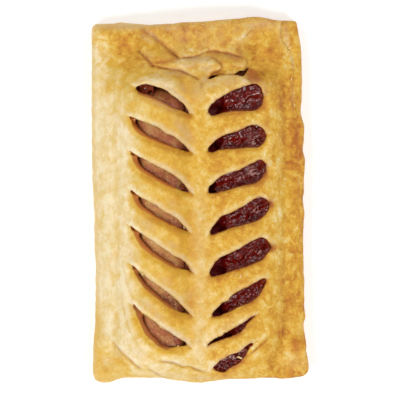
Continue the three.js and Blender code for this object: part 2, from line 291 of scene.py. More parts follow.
def filling_top(x, y):
    z = np.full(x.shape, SHEET)
    full, axis = rod_section(y)
    r = ROD_R * full
    on = (y >= ROD_LOW) & (y <= ROD_TOP) & (np.abs(x - axis) < r)
    z = np.where(on, ROD_Z + np.sqrt(np.maximum(r * r - (x - axis) ** 2, 0)), z)
    on = (y >= SAUCE_LOW_Y) & (y <= SAUCE_TOP_Y) & (x > np.minimum(ROD_X, sauce_left(y))) & (x < sauce_right(y))
    return np.where(on, np.maximum(z, sauce_top(x, y)), z)


# ---------------------------------------------------------------------------------------------
# crown: a sheet of even thickness over the fillings
# ---------------------------------------------------------------------------------------------
COVER = LID + GAP
TURN = FLANK / math.hypot(1, FLANK)


def drape(d):
    return np.where(
        d < COVER * TURN,
        np.sqrt(np.maximum(COVER**2 - d**2, 0)),
        COVER * math.sqrt(1 - TURN**2) - (d - COVER * TURN) * FLANK,
    )


def shift(a, i, j):
    out = np.full(a.shape, -99.0)
    n, m = a.shape
    out[max(0, -i): n - max(0, i), max(0, -j): m - max(0, j)] = a[max(0, i): n + min(0, i), max(0, j): m + min(0, j)]
    return out


HC = 2 * H
xc, yc = xs[::2], ys[::2]
base_top = filling_top(*np.meshgrid(xc, yc, indexing="ij"))
crown_c = np.full(base_top.shape, 0.0)
reach = int(8.5 / HC)
for i in range(-reach, reach + 1):
    for j in range(-reach, reach + 1):
        d = math.hypot(i, j) * HC
        if d > 8.5 or (d > 4.2 and (i + j) % 2):
            continue
        crown_c = np.maximum(crown_c, shift(base_top, i, j) + float(drape(np.array(d))))
crown_c = blur(crown_c, 0.8 / HC)
ci, cj = np.clip((X - xc[0]) / HC, 0, len(xc) - 1.001), np.clip((Y - yc[0]) / HC, 0, len(yc) - 1.001)
i0, j0 = ci.astype(int), cj.astype(int)
ci, cj = ci - i0, cj - j0
crown = lerp(lerp(crown_c[i0, j0], crown_c[i0 + 1, j0], ci), lerp(crown_c[i0, j0 + 1], crown_c[i0 + 1, j0 + 1], ci), cj)

# ---------------------------------------------------------------------------------------------
# slits, in the photo's pixels from the left end to the right: [upper edge, lower edge of what shows through, how wide the
# rolled edge below it is]
# ---------------------------------------------------------------------------------------------
SLITS_L = [
    ([(136.4, 87), (141, 84.8), (148, 84.7), (160, 88), (166, 90.4), (172, 95.5), (179, 100), (185, 106), (188.6, 112.4)],
     [(136.8, 89), (140.5, 92.4), (151, 95.8), (160, 100.2), (169, 105), (179, 109.8), (188.6, 113.4)],
     [(135.8, 89.6), (139.6, 95.4), (150, 99.4), (160, 103.8), (170, 108.2), (180, 112), (189, 114.2)]),
    ([(129.8, 116.2), (133, 116.8), (140.5, 120), (151, 124), (160, 128), (165, 132.6), (172.5, 136), (179, 141), (184, 145.6), (189, 151)],
     [(135.4, 118.4), (137, 123), (140.6, 128), (148, 133.2), (160, 139.4), (175, 147.4), (184, 151.6), (189, 151.8)],
     [(130, 118.4), (132.4, 126.6), (137, 133), (147, 138.6), (160, 144), (175, 149.9), (184, 153), (189.4, 152.4)]),
    ([(130.4, 150.4), (135, 153.6), (145, 159), (157, 165.6), (165, 170), (173.6, 175), (179.4, 180), (184, 185), (189, 191.4)],
     [(138, 156), (140, 161), (143.4, 166), (154, 173.2), (166.5, 181.2), (176, 188), (184, 192.2), (189, 192.2)],
     [(130.8, 153), (132.6, 162), (138.6, 170), (148, 176), (158, 182), (169, 188), (180, 193.6), (189, 193.2)]),
    ([(130.4, 189), (135, 193), (140, 197), (148, 201), (157, 206), (165, 212), (175, 217.5), (182, 224), (187, 229.6)],
     [(139, 196.4), (141, 200.8), (144, 204.8), (148.6, 208), (160, 216.2), (171, 223.4), (180, 228.8), (187, 230.8)],
     [(131, 192), (132.6, 199), (137, 206.6), (146, 213), (160, 220.2), (171, 226.4), (181, 231.6), (187.4, 231.8)]),
    ([(130.6, 225.4), (138, 231.4), (147, 237), (156, 243.4), (165, 249.4), (172.5, 255), (182, 259.6), (187, 264), (190.6, 270)],
     [(139.6, 232.8), (141, 236.4), (143.4, 239.6), (148.6, 245), (160, 254), (171, 262), (181, 268.8), (190.6, 271.4)],
     [(131.4, 228.6), (135.4, 238.6), (142, 248), (151, 255), (160, 260.4), (172, 268), (182, 272.6), (191, 272.4)]),
    ([(132.4, 265), (137, 268.8), (139, 271.4), (142.6, 272.4), (148, 278), (157, 284.6), (165, 290.4), (171, 294.6), (176.5, 299.6), (182, 305.5), (189, 312.6)],
     [(138.6, 270.6), (140.2, 274.4), (142.8, 277.6), (146.8, 282.2), (154.6, 289.8), (163, 297), (171.6, 305), (179, 311.2), (189, 313.8)],
     [(133, 267.6), (135, 273.4), (139.6, 281.4), (145.6, 289), (154, 296), (162, 302), (171, 309.6), (180, 314.4), (189.4, 315)]),
    ([(133.6, 303), (137, 307.6), (144.6, 314.9), (151.5, 319.5), (156.9, 323.7), (160.7, 327.5), (167.6, 330.6), (173.7, 335.1), (179.8, 339), (186, 342.4)],
     [(143.4, 314.6), (144, 318.8), (146.8, 324.2), (152, 331.4), (157.4, 336.8), (162.6, 342.8), (169.9, 346.6), (178, 346.6), (186, 345.4)],
     [(133.2, 306.6), (136.2, 315.2), (140, 322.9), (144.4, 332.8), (151.5, 340.5), (159.2, 346.2), (168.3, 350.4), (179.8, 351.0), (188, 347.4)]),
]
SLITS_R = [
    ([(208.2, 110), (210, 106), (214, 102.5), (220, 98), (229, 92.6), (240, 88), (250, 84.6), (256, 84), (261, 88), (263.4, 95)],
     [(208.4, 113), (212, 115.4), (217, 114.4), (222, 113), (237, 110.5), (250, 110.6), (256, 109.4), (261.4, 105), (263.4, 98)], [0.8, 1, 1.2, 1]),
    ([(208.2, 149), (210, 145.5), (215, 140.7), (219, 138.0), (225, 135), (236.5, 131.6), (248, 126.4), (255, 125), (261.4, 127.6), (265.4, 133)],
     [(208.6, 151.8), (213, 151.9), (218, 149.9), (225, 148.8), (236, 148.2), (248, 147), (257, 146.6), (262.6, 143), (265.8, 137)], [0.8, 1, 1.2, 1.4]),
    ([(208.2, 189.6), (210.4, 185.8), (214, 182.1), (219.5, 177.7), (223.6, 175), (236.5, 171), (248, 165.4), (259, 160), (263, 161), (266, 164.4)],
     [(209, 193), (214, 193), (222, 191), (230, 188.8), (237, 186.6), (246, 184.6), (255, 182.6), (261, 178), (265.6, 171)], [0.8, 1, 1.2, 2.4]),
    ([(210, 231.8), (212.6, 226.7), (217, 221.1), (222, 216.0), (231, 212.6), (242, 206.8), (251, 200.8), (259, 197), (264.6, 198), (269, 202)],
     [(211, 234.4), (214, 234), (222, 231), (229, 228.4), (236.5, 226), (248, 223), (259, 219), (266.4, 211.6), (269.6, 205)], [0.8, 1, 1.2, 2.4]),
    ([(209.4, 273), (211, 269), (215, 262.5), (219.5, 258), (224, 255.6), (236.5, 250), (248, 243), (257, 238.8), (262, 237), (267, 240), (270.6, 245)],
     [(210.6, 276), (214, 276), (222, 274), (231, 270.5), (239.6, 268), (248, 265.4), (254, 263), (262, 258.6), (267, 252.4), (271, 248)], [0.8, 1, 1.2, 2.4]),
    ([(211.8, 314), (214, 311), (217.7, 307.6), (222, 303), (228.7, 299.9), (231.1, 295.9), (239, 290.8), (247, 287), (255, 282.6), (262, 278.4), (265.4, 278.8)],
     [(213, 316.2), (217, 315.8), (221.6, 314.4), (232.7, 309), (240.6, 305), (249.3, 301.9), (257, 296.4), (262, 289.4), (265.4, 282)], [0.8, 1, 1.2, 1.6]),
    ([(207.6, 344), (211.4, 341), (216.1, 337.8), (221, 335.4), (224, 334), (228.7, 331), (233, 328.4), (237.4, 325.8), (245.4, 321), (251.7, 316.6), (255.6, 314.8)],
     [(207.9, 345), (213.7, 341.6), (221.6, 339), (229.5, 335.9), (233, 334.8), (237.4, 333.1), (243.8, 328), (247.2, 322.4), (252, 318.4), (255.6, 315.6)], [1.4, 1.4, 1.2, 1.2]),
    ([(212.6, 367.4), (217, 363.0), (224, 358.1), (232.7, 353.9), (239.8, 350.8), (245.4, 346.2), (250, 343.4), (252.6, 342.8)],
     [(213.4, 368.8), (216.4, 370.2), (224, 371.2), (232, 366.4), (239, 361.7), (243.2, 357), (245.6, 352.6), (250, 346), (252.6, 344)], [0.8, 1, 1.8, 1.2]),
]



def lowered(line, by):
    """The line moved down by so many pixels on the left, and up a little by the right end."""
    return [(u, v + by * float(smooth(174.0, 156.0, u)) - 0.7 * float(smooth(177.0, 183.0, u))) for u, v in line]


SLITS_L = SLITS_L[:1] + [(lowered(upper, 0.6) if k < 2 else upper, lowered(lower, 1.4), lowered(wall, 0.6)) for k, (upper, lower, wall) in enumerate(SLITS_L[1:])]


def slit_outlines(upper, lower, wall):
    up, low = spline(P(*upper), 34), spline(P(*lower), 34)
    if isinstance(wall[0], tuple):
        wide = spline(P(*wall), 34)
        start = int(np.argmin(np.hypot(*(up - low[0]).T)))
        return up, low, np.vstack([up[start:], low[::-1]]), np.vstack([up, wide[::-1]])
    t = np.linspace(0, 1, 34)
    w = np.interp(t, np.linspace(0, 1, len(wall)), wall) * PX
    d = np.gradient(low, axis=0)
    n = np.stack([d[:, 1], -d[:, 0]], 1)
    n /= np.linalg.norm(n, axis=1, keepdims=True) + 1e-9
    taper = np.sin(np.pi * np.clip(t, 0.012, 0.988)) ** 0.3
    wide = low + n * (w * taper)[:, None]
    return up, low, np.vstack([up, low[::-1]]), np.vstack([up, wide[::-1]])


def curve_field(line, reach):
    """Distance, place along and side of a line over the plan, within reach of it."""
    lo, hi = line.min(0) - reach, line.max(0) + reach
    m = (X > lo[0]) & (X < hi[0]) & (Y > lo[1]) & (Y < hi[1])
    d, t, side = np.full(X.shape, float(reach)), np.zeros(X.shape), np.zeros(X.shape)
    dd, tt, ss = seg_distance(X[m], Y[m], line)
    d[m], t[m], side[m] = np.minimum(dd, reach), tt, ss
    return d, t, side


REACH = 9.0
ALL_SLITS = [(s, "L") for s in SLITS_L] + [(s, "R") for s in SLITS_R]
slit_deep, slit_wide = [], []
roll = np.zeros(X.shape)  # 0 on the crust, 1 at the edge of what shows through
rim = np.full(X.shape, REACH)  # distance to the strip edge above a slit
rim_run = np.zeros(X.shape)
upper_d = np.full(X.shape, 3.0)  # inside a slit, distance to its upper edge
lower_d = np.full(X.shape, 3.0)  # and to its lower edge
slit_run = np.zeros(X.shape)  # and the place along it from the left end
tip = np.zeros(X.shape)  # where the rolled edge dips under the rim at a slit's left end
for k, ((upper, lower, wall), which) in enumerate(ALL_SLITS):
    up, low, deep, wide = slit_outlines(upper, lower, wall)
    rag = (0.13 * noise2(X, Y, 1.5, 90 + k) + 0.1 * noise2(X, Y, 3.4, 140 + k)) * (1.9 if k in (6, 13, 14) else 1.15)
    d = polygon_distance(X, Y, deep, REACH) + rag
    w = polygon_distance(X, Y, wide, REACH) + 0.6 * rag
    w = np.minimum(w, d)
    slit_deep.append(d)
    slit_wide.append(w)
    inside = (w < 0) & (d - w > 0.08)
    t = clamp01(d / np.maximum(d - w, 0.08))
    roll = np.maximum(roll, np.where(inside, 1 - t, 0.0))
    ud, ut, us = curve_field(up, 6.0)
    ld, _, _ = curve_field(low, 3.0)
    if which == "L":
        tip = np.maximum(tip, np.where(inside, np.exp(-((ud / 0.85) ** 2)), 0.0))
    here = w < 0.6
    slit_run = np.where(here & (ud < 5.9), ut, slit_run)
    upper_d = np.where(here, np.minimum(ud, 3.0), upper_d)
    lower_d = np.where(here, ld, lower_d)
    near = (us > 0) & (d > -0.3) & (ud < rim)
    rim = np.where(near, ud, rim)
    rim_run = np.where(near, ut * (28.0 if which == "L" else 27.0) + 40.0 * k, rim_run)
# towards the right ends the left slits' lower edges are crisp
crisp = smooth(0.70, 0.90, slit_run) * smooth(0.0, -2.0, X)
dive = np.maximum(roll * (1 - 0.88 * crisp), 0.66 * tip)
roll = np.maximum(roll * (1 - 0.94 * crisp), 0.84 * tip)
deep_d = np.min(slit_deep, axis=0)
wide_d = np.min(slit_wide, axis=0)


# how far each place between two slits of a row lies from the one above towards the one below
def row_phase(indices):
    above = np.full(X.shape, REACH)
    below = np.full(X.shape, REACH)
    for k in indices:
        (upper, lower, _), _side = ALL_SLITS[k]
        a = (P(lower[0])[0] + P(upper[0])[0]) / 2
        b = (P(lower[-1])[0] + P(upper[-1])[0]) / 2
        side = (b[0] - a[0]) * (Y - a[1]) - (b[1] - a[1]) * (X - a[0])
        d = np.maximum(slit_wide[k], 0)
        below = np.where(side > 0, np.minimum(below, d), below)
        above = np.where(side <= 0, np.minimum(above, d), above)
    return above, below


up_l, down_l = row_phase(range(7))
up_r, down_r = row_phase(range(7, 15))
part_l = smooth(2.5, -4.0, X)
part_r = smooth(0.0, 5.0, X)
near_l = smooth(3.2, 0.8, np.min(slit_wide[:7], axis=0)) * smooth(-31.0, -27.5, X + 0.0 * Y)
near_r = smooth(4.0, 1.0, np.min(slit_wide[7:], axis=0))
north_part = np.exp(-up_l / 1.8) * part_l * near_l + 0.6 * np.exp(-up_r / 1.2) * part_r * near_r
south_part = np.exp(-((down_l / 1.7) ** 2)) * part_l * near_l + np.exp(-((down_r / 1.5) ** 2)) * part_r * near_r

# ---------------------------------------------------------------------------------------------
# laps, where one piece of dough lies over another: [points, rise on its left, drop on its right, groove, groove width,
# darkness of the painted shade along the crease, where it starts and ends to fade]; a negative rise and drop put the
# upper piece on the right
# ---------------------------------------------------------------------------------------------
LAPS = [
    # closed slit at the top end: the soft crease and the long lip
    ([(139, 26), (143, 29.4), (147.7, 32.7), (153.8, 36.5), (160, 41.5), (164.5, 44.9), (172.2, 51.8), (178.3, 57.2)], 0.42, 0.40, 0.5, 0.9, 0.55, 0.15, 1.0),
    ([(172.2, 51.8), (178.3, 57.2), (184.4, 57.5), (191.3, 57.1), (199, 54.8), (204.3, 52.5), (208.7, 51.2), (214.9, 50.8), (221.1, 52.1), (230.5, 53.6), (236.7, 55.6), (246, 58.6)], 0.34, 0.42, 0.8, 0.42, 0.85, 0.05, 0.9),
    # crease B
    ([(137.2, 47), (138, 50), (141.6, 53.9), (146.2, 58.1), (150, 62.4), (153.4, 66)], 0.35, 0.35, 0.7, 0.5, 0.9, 0.2, 1.0),
    # second closed slit
    ([(150, 65.2), (156, 66.2), (163.7, 68.2), (172.2, 69.4), (179.8, 70.6), (185.9, 73.2), (192, 75.6), (198.2, 79.2), (203, 82)], 0.36, 0.40, 0.8, 0.42, 0.95, 0.15, 0.8),
    ([(134, 66.4), (142, 66.2), (153, 65.8)], 0.1, 0.2, 0.4, 0.9, 0.35, 0.4, 1.0),
    # inner lip of the middle piece
    ([(205, 55.4), (212, 57.8), (217.6, 61.4), (221.2, 65.6), (220.4, 69.4), (215.6, 72.4), (209.5, 75)], -0.36, -0.5, 0.4, 0.45, 0.45, 0.3, 0.95),
    # gap above the first whole strip, on the right
    ([(206.6, 78.0), (211, 76.6), (216, 75.4), (222, 74.4), (233.6, 74.3), (240, 73.4), (246, 70), (250.7, 65.7)], 0.4, 0.25, 1.1, 0.42, 1.0, 0.06, 0.9),
    # blunt right end of the flap
    ([(244.4, 57.6), (246.3, 60), (246.6, 63.4), (246, 67), (242, 70)], -0.3, -0.35, 0.3, 0.45, 0.5, 0.2, 0.9),
    # right shoulder of the first strip
    ([(238, 75), (244, 77.6), (249.1, 80.5), (254.6, 84.4), (260, 88.4)], -0.3, -0.6, 0.2, 0.6, 0.3, 0.2, 0.8),
    ([(202.4, 80), (201.7, 84.6), (200.8, 91)], 0.0, 0.0, 0.5, 0.6, 0.35, 0.3, 0.6),
    ([(208.3, 46.6), (208.6, 50.8)], 0.0, 0.0, 0.6, 0.4, 0.6, 0.3, 1.0),
    # low end
    ([(106, 331), (114, 343), (122.4, 352.7), (130.1, 359.6), (135.4, 365), (143.4, 370.6)], 0.5, 0.35, 0.45, 0.5, 0.55, 0.45, 0.9),
    ([(146.6, 366.6), (153.8, 371.9), (160.7, 375.7), (166, 378)], 0.4, 0.35, 0.45, 0.5, 0.5, 0.25, 0.85),
    ([(154, 358.6), (163.7, 361.2), (172.2, 362.3), (178.3, 364.6), (183.6, 366.5), (189.8, 365.9), (195.1, 368.8), (203, 371.4), (212, 372.6)], 0.5, 0.5, 0.5, 0.5, 0.65, 0.25, 0.75),
    # along the left flank
    ([(120.6, 250), (124, 272), (128.4, 290), (134, 304.4)], -0.3, -0.2, 0.15, 0.6, 0.1, 0.3, 0.9),
    ([(118, 262), (121, 290), (126, 318), (134, 338), (146, 353), (160, 360)], 0.2, 0.15, 0.12, 0.6, 0.06, 0.3, 0.8),
    # by the last slit on the right
    ([(246.6, 356.6), (251, 353.4), (258, 347.8), (265.4, 341.4), (270.6, 336)], 0.1, -0.3, 0.5, 0.4, 0.8, 0.15, 0.8),
    # small folds of the top band
    ([(180, 21), (184, 28.6), (187.4, 33.6)], 0.15, 0.3, 0.5, 0.6, 0.4, 0.3, 0.7),
    ([(243.6, 36.6), (247, 34.4), (250.4, 31), (254.6, 28)], 0.3, 0.4, 0.5, 0.5, 0.4, 0.3, 0.8),
    ([(245, 42), (252, 46.6), (258, 48.6)], -0.2, -0.2, 0.3, 0.5, 0.2, 0.3, 0.7),
]
lap_height = np.zeros(X.shape)
crease_shade = np.zeros(X.shape)
lap_near = np.full(X.shape, 9.0)
lap_north = np.zeros(X.shape)
lap_under_shade = np.zeros(X.shape)
for points, rise, drop, groove, width, dark, start, end in LAPS:
    d, t, side = curve_field(spline(P(*points), 46), 7.0)
    fade = smooth(-0.001, start, t) * smooth(1.001, end, t)
    flip = -1.0 if (rise < 0 or drop < 0) else 1.0
    over = side * flip > 0
    lip = np.sqrt(np.maximum(1 - (1 - clamp01(d / 2.2)) ** 2, 0)) * np.exp(-((d / 4.5) ** 2))
    lap_height += np.where(over, abs(rise) * lip, -abs(drop) * np.exp(-d / 1.7)) * fade
    lap_height -= 0.5 * groove * np.exp(-((d / (width * 1.1)) ** 2)) * fade
    # painted shade: a darker line along each lap's crease
    crease_shade = np.maximum(crease_shade, dark * fade * np.exp(-((d / (width * 1.05)) ** 2)))
    lap_near = np.minimum(lap_near, np.where(fade > 0.05, d, 9.0))
    lap_north = np.maximum(lap_north, np.where(over, fade * abs(rise) * np.exp(-(((d - 1.0) / 1.1) ** 2)), 0))
    lap_under_shade = np.maximum(lap_under_shade, np.where(~over, fade * abs(drop) * np.exp(-d / 1.4), 0))

crease_shade *= 0.35 + 0.9 * clamp01(0.5 + 0.8 * noise2(X, Y, 3.0, 89) + 0.4 * noise2(X, Y, 1.2, 87))
# broad dips and swellings of the dough, in pixels: (u, v, half length, half width, turn in degrees, height)
SWELLS = [
    (164, 61.4, 12, 2.6, 12, -0.7), (140, 60, 5, 3, -30, -0.2), (216, 73, 6, 2.6, 12, -1.3),
    (200, 36, 55, 9, 3, 0.6),
    (252, 77, 6, 4, 30, -0.8), (258, 345, 11, 3, 32, -0.45), (132, 345, 30, 6, -45, 0.5), (170, 353, 26, 4, -14, 0.5), (152, 366, 12, 4, -30, 0.35),
    (205, 355, 9, 8, 0, -0.5), (118, 165, 3, 9, 12, -0.3), (118, 140, 3, 12, 8, 0.25),
    (284, 60, 4, 20, -6, 0.3), (199, 130, 7, 6, 0, -0.3), (199, 168, 7, 6, 0, -0.3), (199, 208, 7, 6, 0, -0.3), (200, 248, 7, 6, 0, -0.3),
    (201, 290, 7, 6, 0, -0.3), (200, 330, 6, 8, 0, -0.3),
]
# rounded pieces of dough: (centre line, half width in pixels, height)
PUFFS = [
    ([(137, 78), (148, 73.5), (162, 74.5), (176, 79), (188, 86.4), (196, 94)], 10.5, 1.1),
    ([(210, 89), (220, 83.5), (234, 79.5), (247, 79.5), (257, 84)], 9.4, 1.2),
    ([(168, 64), (182, 64), (196, 66), (208, 67), (214, 66)], 8.0, 0.9),
    ([(222, 63), (233, 64), (242, 65)], 9.0, 0.6),
    ([(146, 43), (155, 50), (162, 54)], 8.4, 0.9),
    ([(170, 42), (184, 49), (200, 48.4), (214, 44)], 8.0, 0.45),
]
puff = np.zeros(X.shape)
for points, half, height in PUFFS:
    d, t, _ = curve_field(spline(P(*points), 40), half * PX + 0.2)
    puff = np.maximum(puff, height * np.sqrt(np.maximum(1 - (d / (half * PX)) ** 2, 0)))
puff = blur(puff, 0.35 / H)

swell = np.zeros(X.shape)
for u, v, ru, rv, turn, height in SWELLS:
    a = math.radians(turn)
    dx, dy = X - ux(u), Y - vy(v)
    p, q = dx * math.cos(a) + dy * math.sin(a), -dx * math.sin(a) + dy * math.cos(a)
    swell += height * np.exp(-((p / (ru * PX)) ** 2) - (q / (rv * PX)) ** 2)

# dark gaps between the flap and the first strip
GAPS = [
    [(208.4, 78.8), (210.4, 76.6), (213.6, 75.6), (217.4, 75.0), (218.2, 76.0), (215, 77.4), (212.4, 78.6), (209.8, 79.8)],
    [(233.6, 74.6), (236.4, 72.6), (239.4, 71.0), (242.2, 70.4), (244.2, 71.0), (245.8, 69.6), (247.4, 67.4), (248.0, 67.9), (246.4, 72.2), (244.0, 76.0), (241.8, 76.5), (238.6, 75.8)],
]
gap_d = 0.02 + 0.18 * noise2(X, Y, 1.1, 88) + np.min([polygon_distance(X, Y, P(*g), REACH) for g in GAPS], axis=0)

# ---------------------------------------------------------------------------------------------
# the top surface
# ---------------------------------------------------------------------------------------------
margin = 8.0 + 0.4 * fbm2(X, Y, 15.0, 3, 2)
margin -= 0.6 * smooth(30, 36, X)
margin -= 0.15 * bell(X, -34.5, 2.6) * smooth(60, 45, Y) * smooth(-72, -60, Y)
# the dough is thicker where the strips are pushed together
pushed = smooth(66.0, 54.0, Y) * smooth(-32, -20, X) * (1 - smooth(17, 28, X))
margin += 6.0 * pushed

# towards the top end and both sides the crown falls away gently
fall_top = lerp(21.5, 13.0, smooth(48.0, 62.0, Y)) - 10.0 * smooth(14, 28, X) - 10.0 * smooth(-22, -34, X) - 30.0 * smooth(47, 40, Y)
fall_right = 22.5 - 0.9 * np.maximum(X - 24.0, -4) - 9.0 * smooth(42, 56, Y) - 5.0 * smooth(-52, -72, Y) - 40.0 * smooth(25, 20, X)
fall_left = 22.0 - 1.25 * np.maximum(-30.0 - X, -4) - 9.0 * smooth(44, 56, Y) - 9.0 * smooth(-58, -70, Y) - 40.0 * smooth(-30, -25, X)
top = smax(margin, crown, 5.0)
fall_low = np.interp(Y, [-80.0, -73.6, -72.2, -69.8, -67.4, -65.0, -60.0, -56.0, -50.0], [-10.0, 8.4, 12.6, 17.8, 20.8, 22.6, 24.2, 24.6, 5.0])
fall_low = fall_low - 12.0 * smooth(17, 27, X) - 12.0 * smooth(6, -8, X)
falls = np.maximum(np.maximum(fall_top, fall_right), np.maximum(fall_left, fall_low))
top += blur(np.maximum(falls - top, 0), 2.4 / H)
crown_in = smooth(10.0, 15.0, crown)
relief = -1.3 * north_part + 0.58 * south_part * (1 - 0.5 * np.exp(-((down_l / 0.5) ** 2)) - 0.5 * np.exp(-((down_r / 0.5) ** 2)))
top += relief * crown_in + lap_height + swell + puff
top += 0.7 * bell(X, ux(198), 3.6) * smooth(50, 42, Y) * smooth(-66, -58, Y)  # the spine

# uneven dough: lumps, blisters and fine pleats
top += 0.30 * fbm2(X, Y, 6.5, 11, 2) + 0.15 * fbm2(X, Y, 2.9, 12, 2)
pleats = fbm2(X * 1.0, Y * 0.22, 1.7, 51, 2)
flank_l = bell(X, ux(123), 4.4) * smooth(66, 50, Y) * smooth(-72, -60, Y)
flank_r = bell(X, ux(276), 4.0) * smooth(66, 50, Y) * smooth(-72, -60, Y)
top += 0.22 * pleats * flank_l + 0.12 * pleats * flank_r
top += 0.10 * noise2(rim_run, rim * 0.15, 0.9, 52) * np.exp(-((rim / 1.3) ** 2))
rim_pleats = noise2(rim_run, rim * 0.12, 1.0, 53) * np.exp(-((rim / 2.8) ** 2)) * smooth(40.0, 43.0, Y) * smooth(0.2, 0.9, rim)
top += 0.20 * rim_pleats

# the strip edges are rounded, and the edges below the slits roll down to what shows through
round_off = np.sqrt(np.maximum(1 - (1 - clamp01(deep_d / 2.3)) ** 2, 0))
top -= (1.0 + 0.5 * part_l) * (1 - round_off)
hollowness = np.clip((blur(top, 1.1 / H) - top) / 0.45, -1.0, 1.6) * smooth(0.4, 1.6, wide_d) * smooth(2.0, 4.0, plan_in)

# the edge of the upper sheet along the right
seam_part = 0.25 + 0.75 * smooth(36, 50, Y)
lower_sheet = top - (0.45 + 0.5 * smooth(20, 60, Y)) * seam_part + 0.2 * noise2(X, Y, 3.0, 21)
over_seam = smooth(0.2, -0.45, X - seam_x)
top = lerp(lower_sheet, top, over_seam)
seam_groove = np.exp(-(((X - seam_x) / 0.45) ** 2)) * clamp01(0.55 + 1.2 * noise2(X * 0, Y, 6.0, 33))
top -= 0.16 * seam_groove * seam_part
seam_flakes = smooth(0.05, 0.5, noise2(X, Y * 0.6, 1.5, 35) + 0.5 * noise2(X, Y, 0.8, 36)) * bell(X - seam_x, -0.4, 1.5) * (0.35 + 0.65 * smooth(34, 50, Y))
top += 0.22 * seam_flakes
top = np.minimum(top, 29.95)

# underside of the lid, over both fillings
roomy = filling_top(X, Y) + 0.2 + 0.3 * ((np.abs(X - ROD_X) > 5) & (np.abs(X - ROD_X) < 10.7))
extra = 3.75 + 13.5 * np.sqrt(np.maximum(1 - (1 - clamp01((Y + 69.4) / 3.4)) ** 2, 0))
roomy = np.where((Y > -69.4) & (Y < -60) & (X > -6) & (X < 20.0), np.maximum(roomy, extra), roomy)
grown = np.full(X.shape, -99.0)
for i in range(-2, 3):
    for j in range(-2, 3):
        grown = np.maximum(grown, shift(roomy, i, j))
room_top = np.minimum(blur(grown, 0.4 / H) + 0.3, blur(top, 1.0 / H) - 1.7)
edge_low = np.minimum(top, room_top + 0.75)
top = lerp(top, edge_low, 1 - np.sqrt(np.maximum(1 - dive**2, 0)))

# ---------------------------------------------------------------------------------------------
# surfaces from a solid field, by surface nets
# ---------------------------------------------------------------------------------------------
def nets(f, origin, h):
    """Vertices and quads of the surface f = 0 of a field that is negative inside."""
    nx, ny, nz = f.shape
    s = f < 0
    c = s[:-1, :-1, :-1].astype(np.int8)
    total = np.zeros((nx - 1, ny - 1, nz - 1), np.int8)
    for a in (0, 1):
        for b in (0, 1):
            for d in (0, 1):
                total += s[a: nx - 1 + a, b: ny - 1 + b, d: nz - 1 + d]
    del c
    active = (total > 0) & (total < 8)
    cells = np.argwhere(active)
    index = np.full(active.shape, -1, np.int32)
    index[active] = np.arange(len(cells))
    i, j, k = cells.T
    corners = {}
    for a in (0, 1):
        for b in (0, 1):
            for d in (0, 1):
                corners[(a, b, d)] = f[i + a, j + b, k + d].astype(np.float64)
    acc = np.zeros((len(cells), 3))
    cnt = np.zeros(len(cells))
    for p in corners:
        for axis in range(3):
            if p[axis]:
                continue
            q = list(p)
            q[axis] = 1
            fa, fb = corners[p], corners[tuple(q)]
            m = (fa < 0) != (fb < 0)
            t = np.where(m, fa / np.where(m, fa - fb, 1), 0)
            for ax in range(3):
                acc[:, ax] += np.where(m, p[ax] + (t if ax == axis else 0), 0)
            cnt += m
    local = acc / cnt[:, None]
    verts = (cells + local) * h + np.asarray(origin)
    quads = []
    # edges along x, y, z
    for axis in range(3):
        a = [slice(None)] * 3
        b = [slice(None)] * 3
        a[axis] = slice(0, -1)
        b[axis] = slice(1, None)
        change = s[tuple(a)] != s[tuple(b)]
        o1, o2 = [ax for ax in range(3) if ax != axis]
        e = np.argwhere(change)
        keep = (e[:, o1] > 0) & (e[:, o2] > 0) & (e[:, o1] < f.shape[o1] - 1) & (e[:, o2] < f.shape[o2] - 1)
        e = e[keep]
        inside_first = s[tuple(a)][tuple(e.T)]

        def cell(d1, d2):
            q = e.copy()
            q[:, o1] -= d1
            q[:, o2] -= d2
            return index[tuple(q.T)]

        loop = np.stack([cell(1, 1), cell(0, 1), cell(0, 0), cell(1, 0)], 1)
        flip = inside_first if axis != 1 else ~inside_first
        loop[~flip] = loop[~flip][:, ::-1]
        quads.append(loop)
    return verts, np.vstack(quads)


def trilinear(f, origin, h, v):
    g = (v - np.asarray(origin)) / h
    g = np.clip(g, 0, np.array(f.shape) - 1.001)
    i = g.astype(int)
    t = g - i
    out = 0.0
    for a in (0, 1):
        for b in (0, 1):
            for d in (0, 1):
                w = (t[:, 0] if a else 1 - t[:, 0]) * (t[:, 1] if b else 1 - t[:, 1]) * (t[:, 2] if d else 1 - t[:, 2])
                out = out + w * f[i[:, 0] + a, i[:, 1] + b, i[:, 2] + d]
    return out


def settle(f, origin, h, v, steps=2):
    """Moves the vertices onto the field's surface."""
    e = 0.5 * h
    for _ in range(steps):
        g = np.stack([trilinear(f, origin, h, v + e * np.eye(3)[a]) - trilinear(f, origin, h, v - e * np.eye(3)[a]) for a in range(3)], 1) / (2 * e)
        val = trilinear(f, origin, h, v)
        move = -val[:, None] * g / (np.sum(g * g, axis=1, keepdims=True) + 0.05)
        v = v + np.clip(move, -0.35 * h, 0.35 * h)
    return v


def mesh_object(name, verts, quads, flip=False):
    me = bpy.data.meshes.new(name)
    me.vertices.add(len(verts))
    me.vertices.foreach_set("co", (verts * MM).astype(np.float32).ravel())
    q = quads[:, ::-1] if flip else quads
    me.loops.add(q.size)
    me.loops.foreach_set("vertex_index", q.astype(np.int32).ravel())
    me.polygons.add(len(q))
    me.polygons.foreach_set("loop_start", np.arange(0, q.size, q.shape[1], dtype=np.int32))
    me.polygons.foreach_set("loop_total", np.full(len(q), q.shape[1], np.int32))
    me.update(calc_edges=True)
    me.validate()
    ob = bpy.data.objects.new(name, me)
    bpy.context.collection.objects.link(ob)
    me.polygons.foreach_set("use_smooth", np.ones(len(me.polygons), bool))
    return ob


def attribute(ob, name, values):
    a = ob.data.attributes.new(name, "FLOAT", "POINT")
    a.data.foreach_set("value", np.asarray(values, np.float32))


def coordinates(ob):
    co = np.empty(len(ob.data.vertices) * 3, np.float32)
    ob.data.vertices.foreach_get("co", co)
    return co.reshape(-1, 3).astype(np.float64) / MM


